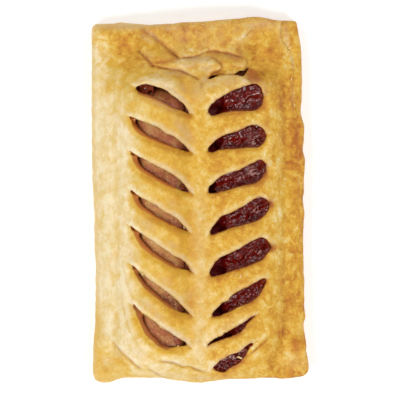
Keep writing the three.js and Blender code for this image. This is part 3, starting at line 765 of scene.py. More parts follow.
# ---------------------------------------------------------------------------------------------
# pastry
# ---------------------------------------------------------------------------------------------
gx, gy = np.gradient(blur(top, 0.3 / H), H)
MAPS = {
    "top": top,
    "slope": np.sqrt(1 + np.minimum(gx * gx + gy * gy, 6.0)),
    "plan": plan_in,
    "phase": 2.2 * noise2(X, Y, 9.0, 41),
    "flake": (0.10 + 0.30 * clamp01(0.5 + noise2(X, Y, 4.0, 43))) * (0.5 + 0.5 * smooth(-30, 10, X)),
    "round": lerp(6.0, 2.6, smooth(-40, -10, X)),
    "deep": deep_d,
    "gap": gap_d,
    "room": room_top,
    "cavity": blur(np.where(roomy > SHEET + 0.01, -1.0, 1.0), 0.6 / H) * 1.2 - 0.2,
}


def solid(m, z):
    """The crust as a field, negative inside it, from the maps at a place and the height there."""
    f_top = (z - m["top"]) / m["slope"]
    # flaky layers along the edges, which lean in a little towards the base
    f_side = -m["plan"] + (0.5 + 0.5 * np.sin(2 * np.pi * z / 1.3 + m["phase"])) * m["flake"] + 0.25 * (1 - clamp01(z / 1.2)) ** 2
    f = smax(f_top, f_side, m["round"])
    f = smax(f, -z, 0.9)
    f = smax(f, -smax(m["deep"], (9.0 - z) * 0.8, 1.0), 0.4)
    f = smax(f, -smax(m["gap"], (m["top"] - 3.6 - z) * 0.8, 0.8), 0.35)
    hollow = smax(smax(z - m["room"], (SHEET - 0.05) - z, 0.6), m["cavity"], 0.8)
    return smax(f, -hollow, 0.4)


def sample(names, x, y):
    """Several maps at any places, straight between the maps' points."""
    u = np.clip((x - xs[0]) / H, 0, len(xs) - 1.001)
    v = np.clip((y - ys[0]) / H, 0, len(ys) - 1.001)
    i, j = u.astype(int), v.astype(int)
    fu, fv = u - i, v - j
    w = ((1 - fu) * (1 - fv), fu * (1 - fv), (1 - fu) * fv, fu * fv)
    return {k: w[0] * MAPS[k][i, j] + w[1] * MAPS[k][i + 1, j] + w[2] * MAPS[k][i, j + 1] + w[3] * MAPS[k][i + 1, j + 1] for k in names}


def crust_field(v):
    return solid(sample(MAPS, v[:, 0], v[:, 1]), v[:, 2])


def settle_exact(v, steps=3, reach=0.3):
    """Moves the vertices onto the crust's surface."""
    e = 0.12
    for _ in range(steps):
        here = sample(MAPS, v[:, 0], v[:, 1])
        val = solid(here, v[:, 2])
        g = np.stack([
            (crust_field(v + np.array([e, 0, 0])) - crust_field(v - np.array([e, 0, 0]))) / (2 * e),
            (crust_field(v + np.array([0, e, 0])) - crust_field(v - np.array([0, e, 0]))) / (2 * e),
            (solid(here, v[:, 2] + e) - solid(here, v[:, 2] - e)) / (2 * e),
        ], 1)
        move = -val[:, None] * g / (np.sum(g * g, axis=1, keepdims=True) + 0.08)
        far = np.linalg.norm(move, axis=1, keepdims=True)
        v = v + move * np.minimum(1.0, reach * STEP / np.maximum(far, 1e-9))
    return v


gx_, gy_ = np.arange(-45.0, 45.0 + STEP, STEP), np.arange(-75.0, 75.0 + STEP, STEP)
zs = np.arange(-2 * STEP, 31.5, STEP)
GX, GY = np.meshgrid(gx_, gy_, indexing="ij")
at = {k: v[:, :, None].astype(np.float32) for k, v in sample(MAPS, GX, GY).items()}
f = solid(at, zs[None, None, :].astype(np.float32))
verts, quads = nets(f, (gx_[0], gy_[0], zs[0]), STEP)
del f, at
verts = settle_exact(verts)


def refine(ob, wanted):
    """Divides the faces whose corners are all wanted."""
    import bmesh

    bm = bmesh.new()
    bm.from_mesh(ob.data)
    bm.verts.ensure_lookup_table()
    faces = [face for face in bm.faces if all(wanted[v.index] for v in face.verts)]
    edges = list({e for face in faces for e in face.edges})
    bmesh.ops.subdivide_edges(bm, edges=edges, cuts=1, use_grid_fill=True)
    bm.to_mesh(ob.data)
    bm.free()


def triangles(ob):
    return sum(len(q.vertices) - 2 for q in ob.data.polygons)


def thin_out(ob, weights, target):
    """Joins small faces, only where weights is true if it is given, until about target triangles are left."""
    count = triangles(ob)
    if count <= target:
        return
    mod = ob.modifiers.new("thin", "DECIMATE")
    mod.ratio = target / count
    if weights is not None:
        ob.vertex_groups.new(name="plain").add([int(i) for i in np.flatnonzero(weights)], 1.0, "REPLACE")
        mod.vertex_group = "plain"
        mod.vertex_group_factor = 800.0
    bpy.context.view_layer.objects.active = ob
    with bpy.context.temp_override(object=ob, active_object=ob, selected_objects=[ob]):
        bpy.ops.object.modifier_apply(modifier=mod.name)
    ob.vertex_groups.clear()


pastry = mesh_object("puff_pastry", verts, quads, flip=False)
MAPS["near"] = np.minimum(np.minimum(np.abs(deep_d), np.abs(gap_d)), lap_near)
m = sample(("near", "room", "top"), verts[:, 0], verts[:, 1])
refine(pastry, (m["near"] < 0.62) & (verts[:, 2] > m["top"] - 0.9) & (verts[:, 2] > m["room"] + 0.2) & (verts[:, 2] > 5))
del MAPS["near"]
verts = settle_exact(coordinates(pastry), 2)
verts[:, 2] = np.where(verts[:, 2] < 0.03, 0.0, verts[:, 2])
pastry.data.vertices.foreach_set("co", (verts * MM).astype(np.float32).ravel())
pastry.data.update()
m = sample(("plan", "top", "room", "deep"), verts[:, 0], verts[:, 1])
vz = verts[:, 2]
hidden = (vz < 0.25) & (m["plan"] > 1.6)
hidden |= (vz < m["room"] + 0.9) & (m["top"] - vz > 1.9) & (m["deep"] > 1.6) & (m["plan"] > 5)
hidden |= (vz < 12.0) & (vz > 0.5) & (m["top"] - vz > 1.9) & (m["plan"] > 6)
full_count = triangles(pastry)
thin_out(pastry, hidden, full_count - 1.92 * hidden.sum())
thin_out(pastry, None, 196000)


def turned_faces(ob):
    """Which corners belong to small faces that lie the wrong way round on the crust's surface."""
    me = ob.data
    v = coordinates(ob)
    me.calc_loop_triangles()
    tri = np.empty(len(me.loop_triangles) * 3, np.int32)
    me.loop_triangles.foreach_get("vertices", tri)
    tri = tri.reshape(-1, 3)
    normal = np.cross(v[tri[:, 1]] - v[tri[:, 0]], v[tri[:, 2]] - v[tri[:, 0]])
    size = np.linalg.norm(normal, axis=1)
    c = v[tri].mean(axis=1)
    e = 0.12
    g = np.stack([crust_field(c + e * np.eye(3)[k]) - crust_field(c - e * np.eye(3)[k]) for k in range(3)], 1)
    g /= np.linalg.norm(g, axis=1, keepdims=True) + 1e-9
    wrong = np.einsum("ij,ij->i", normal, g) < 0.15 * size
    return np.unique(tri[wrong])


def ease(ob, rounds):
    """Moves such corners to the middle of their neighbours and back onto the surface."""
    me = ob.data
    edges = np.empty(len(me.edges) * 2, np.int32)
    me.edges.foreach_get("vertices", edges)
    edges = edges.reshape(-1, 2)
    for _ in range(rounds):
        bad = turned_faces(ob)
        if not len(bad):
            break
        v = coordinates(ob)
        total, count = np.zeros_like(v), np.zeros(len(v))
        for a, b in ((0, 1), (1, 0)):
            np.add.at(total, edges[:, a], v[edges[:, b]])
            np.add.at(count, edges[:, a], 1)
        v[bad] = (total / np.maximum(count, 1)[:, None])[bad]
        v[bad] = settle_exact(v[bad], 1)
        me.vertices.foreach_set("co", (v * MM).astype(np.float32).ravel())
        me.update()
    print("turned corners left", len(turned_faces(ob)))


ease(pastry, 6)
print("pastry", full_count, "hidden", int(hidden.sum()), "left", triangles(pastry))
pastry.data.polygons.foreach_set("use_smooth", np.ones(len(pastry.data.polygons), bool))

# ---------------------------------------------------------------------------------------------
# frikandel
# ---------------------------------------------------------------------------------------------
def rod_shape(y):
    full, axis = rod_section(y)
    t = clamp01((ROD_TOP - y) / 10.5)
    round_end = 0.10 + 0.90 * np.sqrt(np.maximum(1 - (1 - t) ** 2, 0))
    return np.minimum(full, round_end), axis + 2.6 * (1 - t) ** 1.5


def rod_mesh():
    sides, rows = 120, 300
    length = ROD_TOP - ROD_LOW
    d = length * (0.5 - 0.5 * np.cos(np.linspace(0, np.pi, rows))) * 0.35 + np.linspace(0, length, rows) * 0.65
    y = ROD_LOW + d
    full, axis = rod_shape(y)
    a = 2 * np.pi * np.arange(sides) / sides
    A, YY = np.meshgrid(a, y)
    F, AX = np.repeat(full[:, None], sides, 1), np.repeat(axis[:, None], sides, 1)
    arc = A * ROD_R
    bumps = 0.22 * fbm2(arc, YY, 7.0, 61, 2) + 0.07 * fbm2(arc, YY, 1.6, 62, 2)
    seam = np.minimum(A, 2 * np.pi - A)
    bumps *= smooth(0.0, 0.5, seam)
    r = (ROD_R - 0.25) * F * (1 + 0.085 * np.maximum(np.sin(A), 0) ** 0.5 * np.sin(2 * A) ** 2) + bumps
    vx, vz = AX + r * np.cos(A), ROD_Z + r * np.sin(A)
    v = np.stack([vx, YY, vz], -1).reshape(-1, 3)
    i, j = np.meshgrid(np.arange(rows - 1), np.arange(sides), indexing="ij")
    q = np.stack([i * sides + j, i * sides + (j + 1) % sides, (i + 1) * sides + (j + 1) % sides, (i + 1) * sides + j], -1).reshape(-1, 4)
    ob = mesh_object("frikandel_sausage", v, q, flip=True)
    import bmesh

    bm = bmesh.new()
    bm.from_mesh(ob.data)
    bm.verts.ensure_lookup_table()
    loops = [[bm.verts[k] for k in ring] for ring in (range(sides), range((rows - 1) * sides, rows * sides))]
    for loop in loops:
        c = bm.verts.new(sum((w.co for w in loop), loop[0].co * 0) / sides)
        for k in range(sides):
            bm.faces.new((loop[k], loop[(k + 1) % sides], c))
    bmesh.ops.recalc_face_normals(bm, faces=bm.faces)
    for face in bm.faces:
        face.smooth = True
    bm.to_mesh(ob.data)
    bm.free()
    return ob


rod = rod_mesh()

# ---------------------------------------------------------------------------------------------
# sauce
# ---------------------------------------------------------------------------------------------
HS = 0.42
sx = np.arange(-28.0, 31.0 + HS, HS)
sy = np.arange(-71.0, 49.5 + HS, HS)
SX, SY = np.meshgrid(sx, sy, indexing="ij")
LOW_Y = -69.4
from_end = np.minimum(SY - LOW_Y, SAUCE_TOP_Y - SY)
sauce_z = np.maximum(sauce_top(SX, SY), 3.75 + 14.5 * np.sqrt(np.maximum(1 - (1 - clamp01((SY - LOW_Y) / 3.4)) ** 2, 0)) * smooth(-56, -62, SY))
lump = fbm2(SX + 0.35 * SY, SY, 3.8, 71, 2)
ridge = 1 - 2 * np.abs(noise2(SX * 0.7 + SY * 0.2, SY - 0.35 * SX, 2.4, 72))
sauce_z = sauce_z - 0.85 + 0.45 * lump + 0.34 * ridge
# it stays below the crust, and where it shows its level follows the crust round the slit
lid = on_grid(room_top, SX, SY)
shaft = on_grid(deep_d, SX, SY)
RIGHT_ENDS = [(344, 252.6), (317, 255.6), (281, 265.4), (246, 271), (203, 269.4), (166, 266), (132, 265.6), (95, 263.4)]
HOLLOWS = [(366, 210), (338, 237), (308, 226), (266, 228), (226, 226.5), (188, 215), (146, 221.5), (108, 225)]


def along_rows(table_vu, y):
    p = np.array(table_vu, float)
    return np.interp(y, vy(p[:, 0]), ux(p[:, 1]))


below = 1.2 + 1.4 * smooth(0.0, 9.0, along_rows(RIGHT_ENDS, SY) - SX)
level = on_grid(blur(top, 1.4 / H), SX, SY) - below
# at the left ends a dark hollow is left
hollow_x = along_rows(HOLLOWS, SY) + 1.3 * noise2(SX, SY, 2.2, 74)
level -= 4.5 * smooth(-0.6, 3.0, hollow_x - SX) * smooth(0.5, 2.5, SX)
for u, v, r, height in ((254, 138, 1.7, 0.7), (251, 130, 1.4, 0.5), (253.4, 167, 1.7, 0.8), (254, 204, 1.6, 0.8), (252.4, 246, 1.5, 0.8), (246, 214, 1.5, 0.5), (236, 102, 1.6, 0.5),
                        (238, 352.6, 1.6, 0.7), (230, 362, 1.4, 0.6), (222, 364, 1.4, 0.6), (244, 176, 1.5, 0.5), (240, 256, 1.4, 0.5)):
    level += height * np.exp(-((SX - ux(u)) ** 2 + (SY - vy(v)) ** 2) / r**2)
# round the sausage's upper end
by_end = smooth(-17.5, -19.5, SX) * smooth(39.0, 41.0, SY)
level -= by_end * (0.8 - 0.6 * noise2(SX, SY, 1.9, 73) + 3.4 * np.exp(-(((SX + 19.9) / 0.9) ** 2) - ((SY - 42.7) / 0.8) ** 2))
flat = smooth(-55.0, -57.5, SY) * smooth(2.0, 4.0, SX)
middle = float(np.mean(level[(flat > 0.9) & (shaft < 0.0)])) + 0.5
level = lerp(level, np.minimum(middle + 0.4 * (level - middle), on_grid(blur(top, 0.8 / H), SX, SY) - 0.8), flat)
over_rod = smooth(-18.6, -17.8, SX) * smooth(-5.8, -6.6, SX)
level = lerp(level, np.minimum(sauce_z, lid - 0.35), over_rod)
sauce_z = lerp(np.minimum(sauce_z, lid - 0.35), level, smooth(0.95, 0.35, shaft))
sz = np.arange(3.0, 29.5, HS)
SZ = sz[None, None, :].astype(np.float32)
g = np.hypot(*np.gradient(sauce_z, HS))
fs = (SZ - sauce_z[:, :, None].astype(np.float32)) / np.sqrt(1 + np.minimum(g, 3.0) ** 2)[:, :, None].astype(np.float32)
side_d = np.maximum(np.maximum(sauce_left(SY) - SX, SX - sauce_right(SY)), np.maximum(LOW_Y - SY, SY - SAUCE_TOP_Y))
fs = smax(fs, side_d[:, :, None].astype(np.float32), 1.6)
fs = smax(fs, (SHEET + GAP) - SZ, 0.6)
full, axis = rod_shape(SY)
rr = np.where((SY > ROD_LOW - 0.4) & (SY < ROD_TOP + 0.4), (ROD_R + 0.25) * full, -3.0)
rod_d = np.sqrt((SX - axis)[:, :, None] ** 2 + (SZ - ROD_Z) ** 2) - rr[:, :, None]
fs = smax(fs, -rod_d.astype(np.float32), 0.4)
so = (sx[0], sy[0], sz[0])
sv, sq = nets(fs, so, HS)
sv = settle(fs, so, HS, sv)
sauce = mesh_object("red_sauce", sv, sq, flip=False)


def sauce_lumps(x, y):
    """Small wet lumps and wrinkles, drawn out along the slits."""
    a, b = 0.87 * x + 0.5 * y, -0.5 * x + 0.87 * y
    a, b = a + 0.6 * noise2(x, y, 2.2, 75), b + 0.6 * noise2(x, y, 2.2, 76)
    coarse = np.sqrt(clamp01((noise2(a * 0.6, b, 1.9, 77) + 0.35) / 1.0))
    fine = np.sqrt(clamp01((noise2(a * 0.8, b, 1.0, 78) + 0.25) / 0.8))
    crisp = smooth(-48.0, -55.0, y)
    return 0.55 * coarse + (0.20 + 0.45 * crisp) * fine + (0.05 + 0.12 * crisp) * noise2(a, b, 0.7, 79)


shown = on_grid(deep_d, sv[:, 0], sv[:, 1]) < 0.75
upper = sv[:, 2] > on_grid(top, sv[:, 0], sv[:, 1]) - 11.0
refine(sauce, shown & upper)
sv = coordinates(sauce)
shown = smooth(0.75, 0.2, on_grid(deep_d, sv[:, 0], sv[:, 1])) * smooth(13.0, 11.0, on_grid(top, sv[:, 0], sv[:, 1]) - sv[:, 2])
clear_of_rod = np.hypot(sv[:, 0] - ROD_X, sv[:, 2] - ROD_Z) > ROD_R + 0.8
by_end = smooth(-17.5, -19.5, sv[:, 0])
sv[:, 2] += shown * np.where(clear_of_rod | (sv[:, 1] > ROD_TOP), 1.0, 0.0) * (1 + 0.5 * by_end + 0.7 * smooth(-52, -57, sv[:, 1]) + 0.2 * smooth(34, 22, sv[:, 1]) - 0.25 * smooth(34, 38, sv[:, 1])
    + 0.6 * smooth(13, 19, sv[:, 0]) * smooth(36, 32, sv[:, 1]) * smooth(-2, 4, sv[:, 1])) * (sauce_lumps(sv[:, 0], sv[:, 1]) - 0.35)
sauce.data.vertices.foreach_set("co", (sv * MM).astype(np.float32).ravel())
sauce.data.update()
full_count = triangles(sauce)
thin_out(sauce, shown <= 0, 165000)
thin_out(sauce, None, 165000)
sauce.data.polygons.foreach_set("use_smooth", np.ones(len(sauce.data.polygons), bool))
print("sauce", full_count, "left", triangles(sauce))


# ---------------------------------------------------------------------------------------------
# materials
# ---------------------------------------------------------------------------------------------
LIGHT = 1.25  # how bright a white sheet lying flat looks


def srgb(r, g, b):
    """The surface colour that looks like this under the studio light."""

    def lin(c):
        c /= 255.0
        return (c / 12.92 if c <= 0.04045 else ((c + 0.055) / 1.055) ** 2.4) / LIGHT

    return (lin(r), lin(g), lin(b), 1.0)


class Nodes:
    def __init__(self, name):
        self.mat = bpy.data.materials.new(name)
        self.mat.use_nodes = True
        self.nt = self.mat.node_tree
        self.nt.nodes.clear()
        self.out = self.nt.nodes.new("ShaderNodeOutputMaterial")
        self.bsdf = self.nt.nodes.new("ShaderNodeBsdfPrincipled")
        self.link(self.bsdf.outputs[0], self.out.inputs[0])
        self.coord = self.nt.nodes.new("ShaderNodeTexCoord").outputs["Object"]

    def link(self, a, b):
        self.nt.links.new(a, b)

    def value(self, x, socket):
        if isinstance(x, (int, float)):
            socket.default_value = x
        elif isinstance(x, tuple):
            socket.default_value = x
        else:
            self.link(x, socket)

    def attr(self, name):
        n = self.nt.nodes.new("ShaderNodeAttribute")
        n.attribute_name = name
        return n.outputs["Fac"]

    def noise(self, size_mm, detail=3.0, rough=0.55, distortion=0.0, stretch=None, seed=0.0):
        n = self.nt.nodes.new("ShaderNodeTexNoise")
        n.inputs["Scale"].default_value = 1000.0 / size_mm
        n.inputs["Detail"].default_value = detail
        n.inputs["Roughness"].default_value = rough
        n.inputs["Distortion"].default_value = distortion
        m = self.nt.nodes.new("ShaderNodeMapping")
        m.inputs["Location"].default_value = (seed * 0.013, seed * 0.029, seed * 0.017)
        if stretch:
            m.inputs["Scale"].default_value = stretch
        self.link(self.coord, m.inputs["Vector"])
        self.link(m.outputs[0], n.inputs["Vector"])
        return n.outputs["Fac"]

    def ramp(self, fac, *stops):
        n = self.nt.nodes.new("ShaderNodeValToRGB")
        n.color_ramp.interpolation = "LINEAR"
        el = n.color_ramp.elements
        while len(el) < len(stops):
            el.new(0.5)
        for e, (pos, col) in zip(el, stops):
            e.position = pos
            e.color = col
        self.link(fac, n.inputs[0])
        return n.outputs[0]

    def math(self, op, a, b=0.0, c=None, clamp=False):
        n = self.nt.nodes.new("ShaderNodeMath")
        n.operation = op
        n.use_clamp = clamp
        self.value(a, n.inputs[0])
        self.value(b, n.inputs[1])
        if c is not None:
            self.value(c, n.inputs[2])
        return n.outputs[0]

    def span(self, x, a, b, lo=0.0, hi=1.0):
        n = self.nt.nodes.new("ShaderNodeMapRange")
        n.interpolation_type = "SMOOTHSTEP"
        self.value(x, n.inputs["Value"])
        for key, v in (("From Min", a), ("From Max", b), ("To Min", lo), ("To Max", hi)):
            n.inputs[key].default_value = v
        return n.outputs[0]

    def mix(self, fac, a, b, mode="MIX"):
        n = self.nt.nodes.new("ShaderNodeMix")
        n.data_type = "RGBA"
        n.blend_type = mode
        self.value(fac, n.inputs[0])
        self.value(a, n.inputs[6])
        self.value(b, n.inputs[7])
        return n.outputs[2]

    def bump(self, height, strength, distance_mm, normal=None):
        n = self.nt.nodes.new("ShaderNodeBump")
        n.inputs["Strength"].default_value = strength
        n.inputs["Distance"].default_value = distance_mm * MM
        self.link(height, n.inputs["Height"])
        if normal is not None:
            self.link(normal, n.inputs["Normal"])
        return n.outputs[0]


# ---------------------------------------------------------------------------------------------
# browning from pale 0 to brown 1, with painted shade added in hollows, on steep slopes, beside laps, at rim ends and in
# some patches
# ---------------------------------------------------------------------------------------------
U, V = X / PX + CX, CY - Y / PX
BAKE_ACROSS = [(90, 0.08), (94, 0.08), (98, 0.11), (112, 0.11), (126, 0.13), (134, 0.25), (150, 0.48), (175, 0.57), (190, 0.54), (198, 0.52), (206, 0.52), (216, 0.59), (225, 0.63),
               (262, 0.60), (278, 0.52), (286, 0.58), (291, 0.76), (296, 0.80), (300, 0.74), (308, 0.66)]
BAKE_TOP = [(90, 0.22), (96, 0.26), (106, 0.44), (118, 0.60), (130, 0.62), (160, 0.60), (200, 0.60), (240, 0.62), (270, 0.66), (308, 0.60)]
BAKE_LOW = [(90, 0.34), (100, 0.42), (120, 0.40), (132, 0.20), (160, 0.18), (190, 0.22), (208, 0.36), (225, 0.52), (260, 0.54), (300, 0.66), (308, 0.60)]


def across(table_uv):
    p = np.array(table_uv, float)
    return np.interp(U, p[:, 0], p[:, 1])


bake_and_shade = lerp(across(BAKE_ACROSS), across(BAKE_TOP), smooth(86, 58, V + 6 * noise2(X, Y, 14.0, 81)))
bake_and_shade = lerp(bake_and_shade, across(BAKE_LOW), smooth(330, 356, V + 0.25 * (U - 130) + 5 * noise2(X, Y, 12.0, 82)))
bake_and_shade += np.exp(-(((plan_in - 0.1) / 0.8) ** 2)) * (0.06 * smooth(-20, -36, X) + 0.12 * smooth(170, 200, V) * smooth(-36, -20, X))
# each strip is golden below a slit and pale towards the next one
place_l = up_l / np.maximum(up_l + down_l, 0.3)
place_r = up_r / np.maximum(up_r + down_r, 0.3)
bake_and_shade += crown_in * part_l * near_l * lerp(0.17, -0.16, smooth(0.35, 1.0, place_l))
bake_and_shade += crown_in * part_r * near_r * lerp(0.13, -0.05, smooth(0.1, 0.6, place_r))
to_right = smooth(0.25, 0.9, place_l) * near_l * smooth(4.0, -1.0, X) * smooth(140, 172, U)
to_low = smooth(0.65, 1.0, place_r) * near_r * part_r
bake_and_shade -= 0.06 * to_right + 0.07 * to_low
# browner along the right part of each left slit's rim: partly the cut edge's own brown, partly painted shade
rim_end_brown_and_shade = np.exp(-((rim / 1.1) ** 2)) * smooth(0.55, 0.95, (rim_run % 40.0) / 28.0) * part_l * crown_in
bake_and_shade += 0.24 * rim_end_brown_and_shade
bake_and_shade += 0.12 * rim_pleats
rim_pale = np.exp(-((rim / 1.3) ** 2)) * crown_in
bake_and_shade -= 0.09 * rim_pale + 0.10 * lap_north
# painted shade: the piece under a lap is darker; hollows are browner, partly the crust's own browning and partly
# painted shade
bake_and_shade += 0.10 * lap_under_shade + 0.16 * hollowness
# painted warm shade: steep slopes a little browner
gx, gy = np.gradient(blur(top, 0.8 / H), H)
bake_and_shade += 0.04 * smooth(0.35, 1.3, np.hypot(gx, gy)) * smooth(0.3, 1.5, wide_d) * smooth(3.0, 6.0, plan_in)
bake_and_shade -= 0.3 * seam_flakes
# golden and pale areas, in pixels: (u, v, half length, half width, turn in degrees, amount)
PATCHES = [
    # golden, left half
    (120, 41, 16, 8, -5, 0.08), (123, 62, 9, 14, 0, 0.06), (127, 88, 7, 14, 0, 0.16), (124, 114, 6, 14, 0, 0.12),
    (176, 155, 12, 5, -25, 0.10), (150, 181, 10, 4, -32, 0.10), (177, 201, 11, 5, -28, 0.10), (150, 221, 9, 4, -35, 0.10),
    (182, 237, 10, 5, -30, 0.10), (176, 279, 12, 5, -30, 0.10), (183, 318, 9, 5, -20, 0.12), (135, 325, 4, 9, 10, 0.22),
    (160, 352, 12, 4, -8, 0.22), (100, 352, 5, 4, -20, 0.12), (117, 361, 8, 3, -30, 0.14), (105, 371, 5, 3, 0, 0.14), (96, 372, 3, 5, 0, 0.10), (128, 374, 10, 3, -15, 0.16), (146, 376, 8, 3, -10, 0.12),
    (93, 325, 4, 24, 0, 0.22), (106, 86, 7, 9, 0, 0.16), (108, 120, 8, 20, 0, 0.05), (178, 352, 14, 5, 0, 0.12), (202, 126, 5, 5, 0, 0.14),
    # golden, right half
    (232, 197, 10, 4, 20, 0.08), (226, 236, 10, 4, 18, 0.12), (234, 273, 10, 4, 20, 0.12), (246, 310, 12, 5, 25, 0.12), (226, 344, 9, 3.5, 25, 0.14),
    (275, 57, 8, 10, 0, 0.12), (254, 76, 8, 6, -30, 0.15), (281, 104, 5, 16, 15, 0.20), (288, 146, 7, 9, 0, 0.14),
    (289, 292, 7, 12, 0, 0.10), (283, 334, 9, 6, 0, 0.14), (262, 371, 10, 5, 0, 0.10),
    # pale
    (166, 330, 16, 5, -38, -0.36), (222, 327, 15, 5, 33, -0.10), (256.6, 343.8, 13, 2.8, 42, -0.50), (112, 50, 9, 10, 0, -0.16), (150, 21, 50, 3.0, 2, -0.12),
    (287, 350, 4, 20, 0, -0.12), (280, 246, 7, 10, 0, -0.12), (299, 198, 4, 12, 0, -0.14), (265, 306, 5, 6, 0, -0.08),
    (160, 74, 10, 4, -6, -0.14), (230, 82, 14, 6, 10, -0.15), (115, 55, 14, 9, 0, -0.07), (107, 364, 8, 8, 0, -0.12), (207, 345, 8, 5, 20, -0.10),
    (148, 306, 9, 5, -35, -0.10), (202, 378, 12, 2.5, 0, -0.10), (279, 50, 5, 12, 0, -0.18), (278, 346, 5, 13, 0, -0.17), (258, 70, 4, 4, 0, -0.16), (103, 87, 4, 7, 0, -0.12), (118, 354, 6, 4, -30, -0.12), (292, 201, 4, 8, 0, -0.12), (283, 225, 4, 8, 0, -0.10),
    (117, 290, 4, 10, 0, -0.10), (121, 69, 6, 6, 0, -0.10),
    (166, 79, 14, 4, -12, -0.20), (184, 155.6, 8, 3, -20, -0.10), (184, 196, 8, 3, -20, -0.12), (182, 233.6, 8, 3, -20, -0.14), (184, 274.4, 8, 3, -20, -0.14), (184, 317, 8, 3.4, -20, -0.18),
    (281, 40, 4, 9, 0, -0.12), (277, 57, 4, 6, 0, -0.08), (292, 210, 4, 9, 0, -0.12), (292, 244, 4, 8, 0, -0.12), (261, 68, 5, 4, 0, -0.10), (106, 85, 4, 7, 0, -0.08), (118.5, 292, 4, 8, 0, -0.08),
    (118.5, 351, 5, 5, 0, -0.10), (120, 170, 4, 10, 0, -0.06),
    # darker; those at (265, 80), (264, 82), (249, 72), (254, 80), (256, 77) and (160, 63.5) are painted shade by the
    # hole at the flap's right end and in the band under the long lip
    (265, 80, 5, 6, 0, 0.08), (203, 330, 6, 5, 0, 0.08), (172, 349, 7, 3, 0, 0.10), (248, 354, 6, 3, 40, 0.14), (127, 114, 5, 14, 0, 0.05),
    (118, 38, 20, 10, 0, 0.07), (294, 330, 8, 28, 0, 0.10), (148, 361, 16, 10, 0, 0.06), (186, 371, 20, 6, 0, 0.05),
    (264, 82, 7, 8, 0, 0.12), (268, 124, 5, 9, 0, 0.12), (261, 38, 6, 8, 0, 0.14), (292, 38, 4, 8, 0, 0.10), (271, 302, 8, 7, 0, 0.12), (252, 324, 6, 5, 0, 0.12), (203, 331, 6, 5, 0, 0.10),
    (226, 284, 6, 4, 0, 0.08), (129, 127, 5, 6, 0, 0.12), (113, 83, 8, 8, 0, 0.13), (212, 30, 7, 5, 0, 0.10), (137, 80, 7, 4, -20, 0.12), (160, 62, 12, 4, -4, 0.14), (249, 72, 3.6, 4.4, 0, 0.16), (264, 127, 4, 6, 0, 0.18), (248.6, 328.6, 6, 2.6, 35, 0.20), (226, 354.6, 8, 2.4, 30, 0.16), (177, 348, 8, 3, 0, 0.10),
    (203, 330, 6, 5, 0, 0.10), (264.6, 37.7, 5, 7, 0, 0.10), (114, 84, 8, 8, 0, 0.12), (98.5, 216, 5, 12, 0, 0.08), (98.5, 327, 5, 14, 0, 0.12), (252, 349.6, 6, 3, 40, 0.20),
    (160, 52, 10, 6, -25, 0.16), (160, 63.5, 12, 3.5, -4, 0.24), (245, 50, 8, 5, 40, 0.20), (118, 36, 16, 9, 0, 0.07), (94, 318, 3, 28, 0, 0.14),
    (232, 292, 8, 6, 20, 0.10), (219, 353, 7, 7, 0, 0.10), (262, 345, 5, 4, 0, 0.12), (254, 80, 7, 8, 0, 0.10), (278, 110, 12, 16, 0, 0.05), (242, 363, 5, 3, 25, 0.20),
    (97, 328, 8, 20, 0, 0.16), (132, 104, 7, 8, 0, 0.10), (256, 77, 7, 5, -30, 0.30), (175, 359, 28, 6, 0, 0.10), (214, 356, 8, 9, 30, 0.14), (170, 34, 60, 9, 3, 0.09),
    (290, 314, 8, 8, 0, 0.10), (296, 36, 5, 9, 0, 0.12), (275, 37, 6, 9, 0, 0.12), (262, 90, 4, 14, 0, 0.10), (106, 86, 6, 8, 0, 0.12),
    (199, 168, 5, 9, 0, -0.12), (200, 213, 5, 8, 0, -0.10), (201, 262, 5, 9, 0, -0.12), (202, 303, 6, 12, 0, -0.16), (198, 326, 8, 8, 0, -0.12), (268, 136, 6, 14, 0, -0.10),
    (148, 80.6, 14, 3.4, -4, -0.34), (174, 90, 12, 4.6, -38, -0.22), (212, 85, 8, 5, 20, -0.16), (100, 100, 5, 30, 0, -0.06), (246, 35, 8, 2.5, 40, -0.28), (287, 60, 4, 22, 0, -0.14), (186, 104, 9, 4, -60, -0.10),
]
for u, v, ru, rv, turn, amount in PATCHES:
    a = math.radians(turn)
    dx, dy = X - ux(u), Y - vy(v)
    p, q = dx * math.cos(a) + dy * math.sin(a), -dx * math.sin(a) + dy * math.cos(a)
    bake_and_shade += amount * np.exp(-((p / (ru * PX)) ** 2) - (q / (rv * PX)) ** 2)
low_bake = lerp(0.06, lerp(0.24, 0.06, smooth(275, 305, V)), smooth(96, 110, V)) * crown_in * smooth(134, 146, U)
bake_and_shade = low_bake + np.logaddexp(0.0, (bake_and_shade - low_bake) / 0.04) * 0.04


MOTTLE = [(90, 0.6), (124, 0.6), (136, 0.6), (185, 0.65), (200, 0.95), (222, 1.2), (262, 1.2), (284, 1.35), (308, 1.35)]
mottle = lerp(across(MOTTLE), 1.3, smooth(80, 56, V))
bake_and_shade += mottle * (0.11 * noise2(X, Y, 6.0, 83) + 0.08 * noise2(X, Y, 12.0, 84) + 0.05 * noise2(X, Y, 3.0, 85))


def spots(table_uv):
    """Soft round spots, in pixels: (u, v, half length, half width, turn, amount)."""
    out = np.zeros(X.shape)
    for u, v, ru, rv, turn, amount in table_uv:
        a = math.radians(turn)
        dx, dy = X - ux(u), Y - vy(v)
        p, q = dx * math.cos(a) + dy * math.sin(a), -dx * math.sin(a) + dy * math.cos(a)
        out = np.maximum(out, amount * np.exp(-((p / (ru * PX)) ** 2) - (q / (rv * PX)) ** 2))
    return out


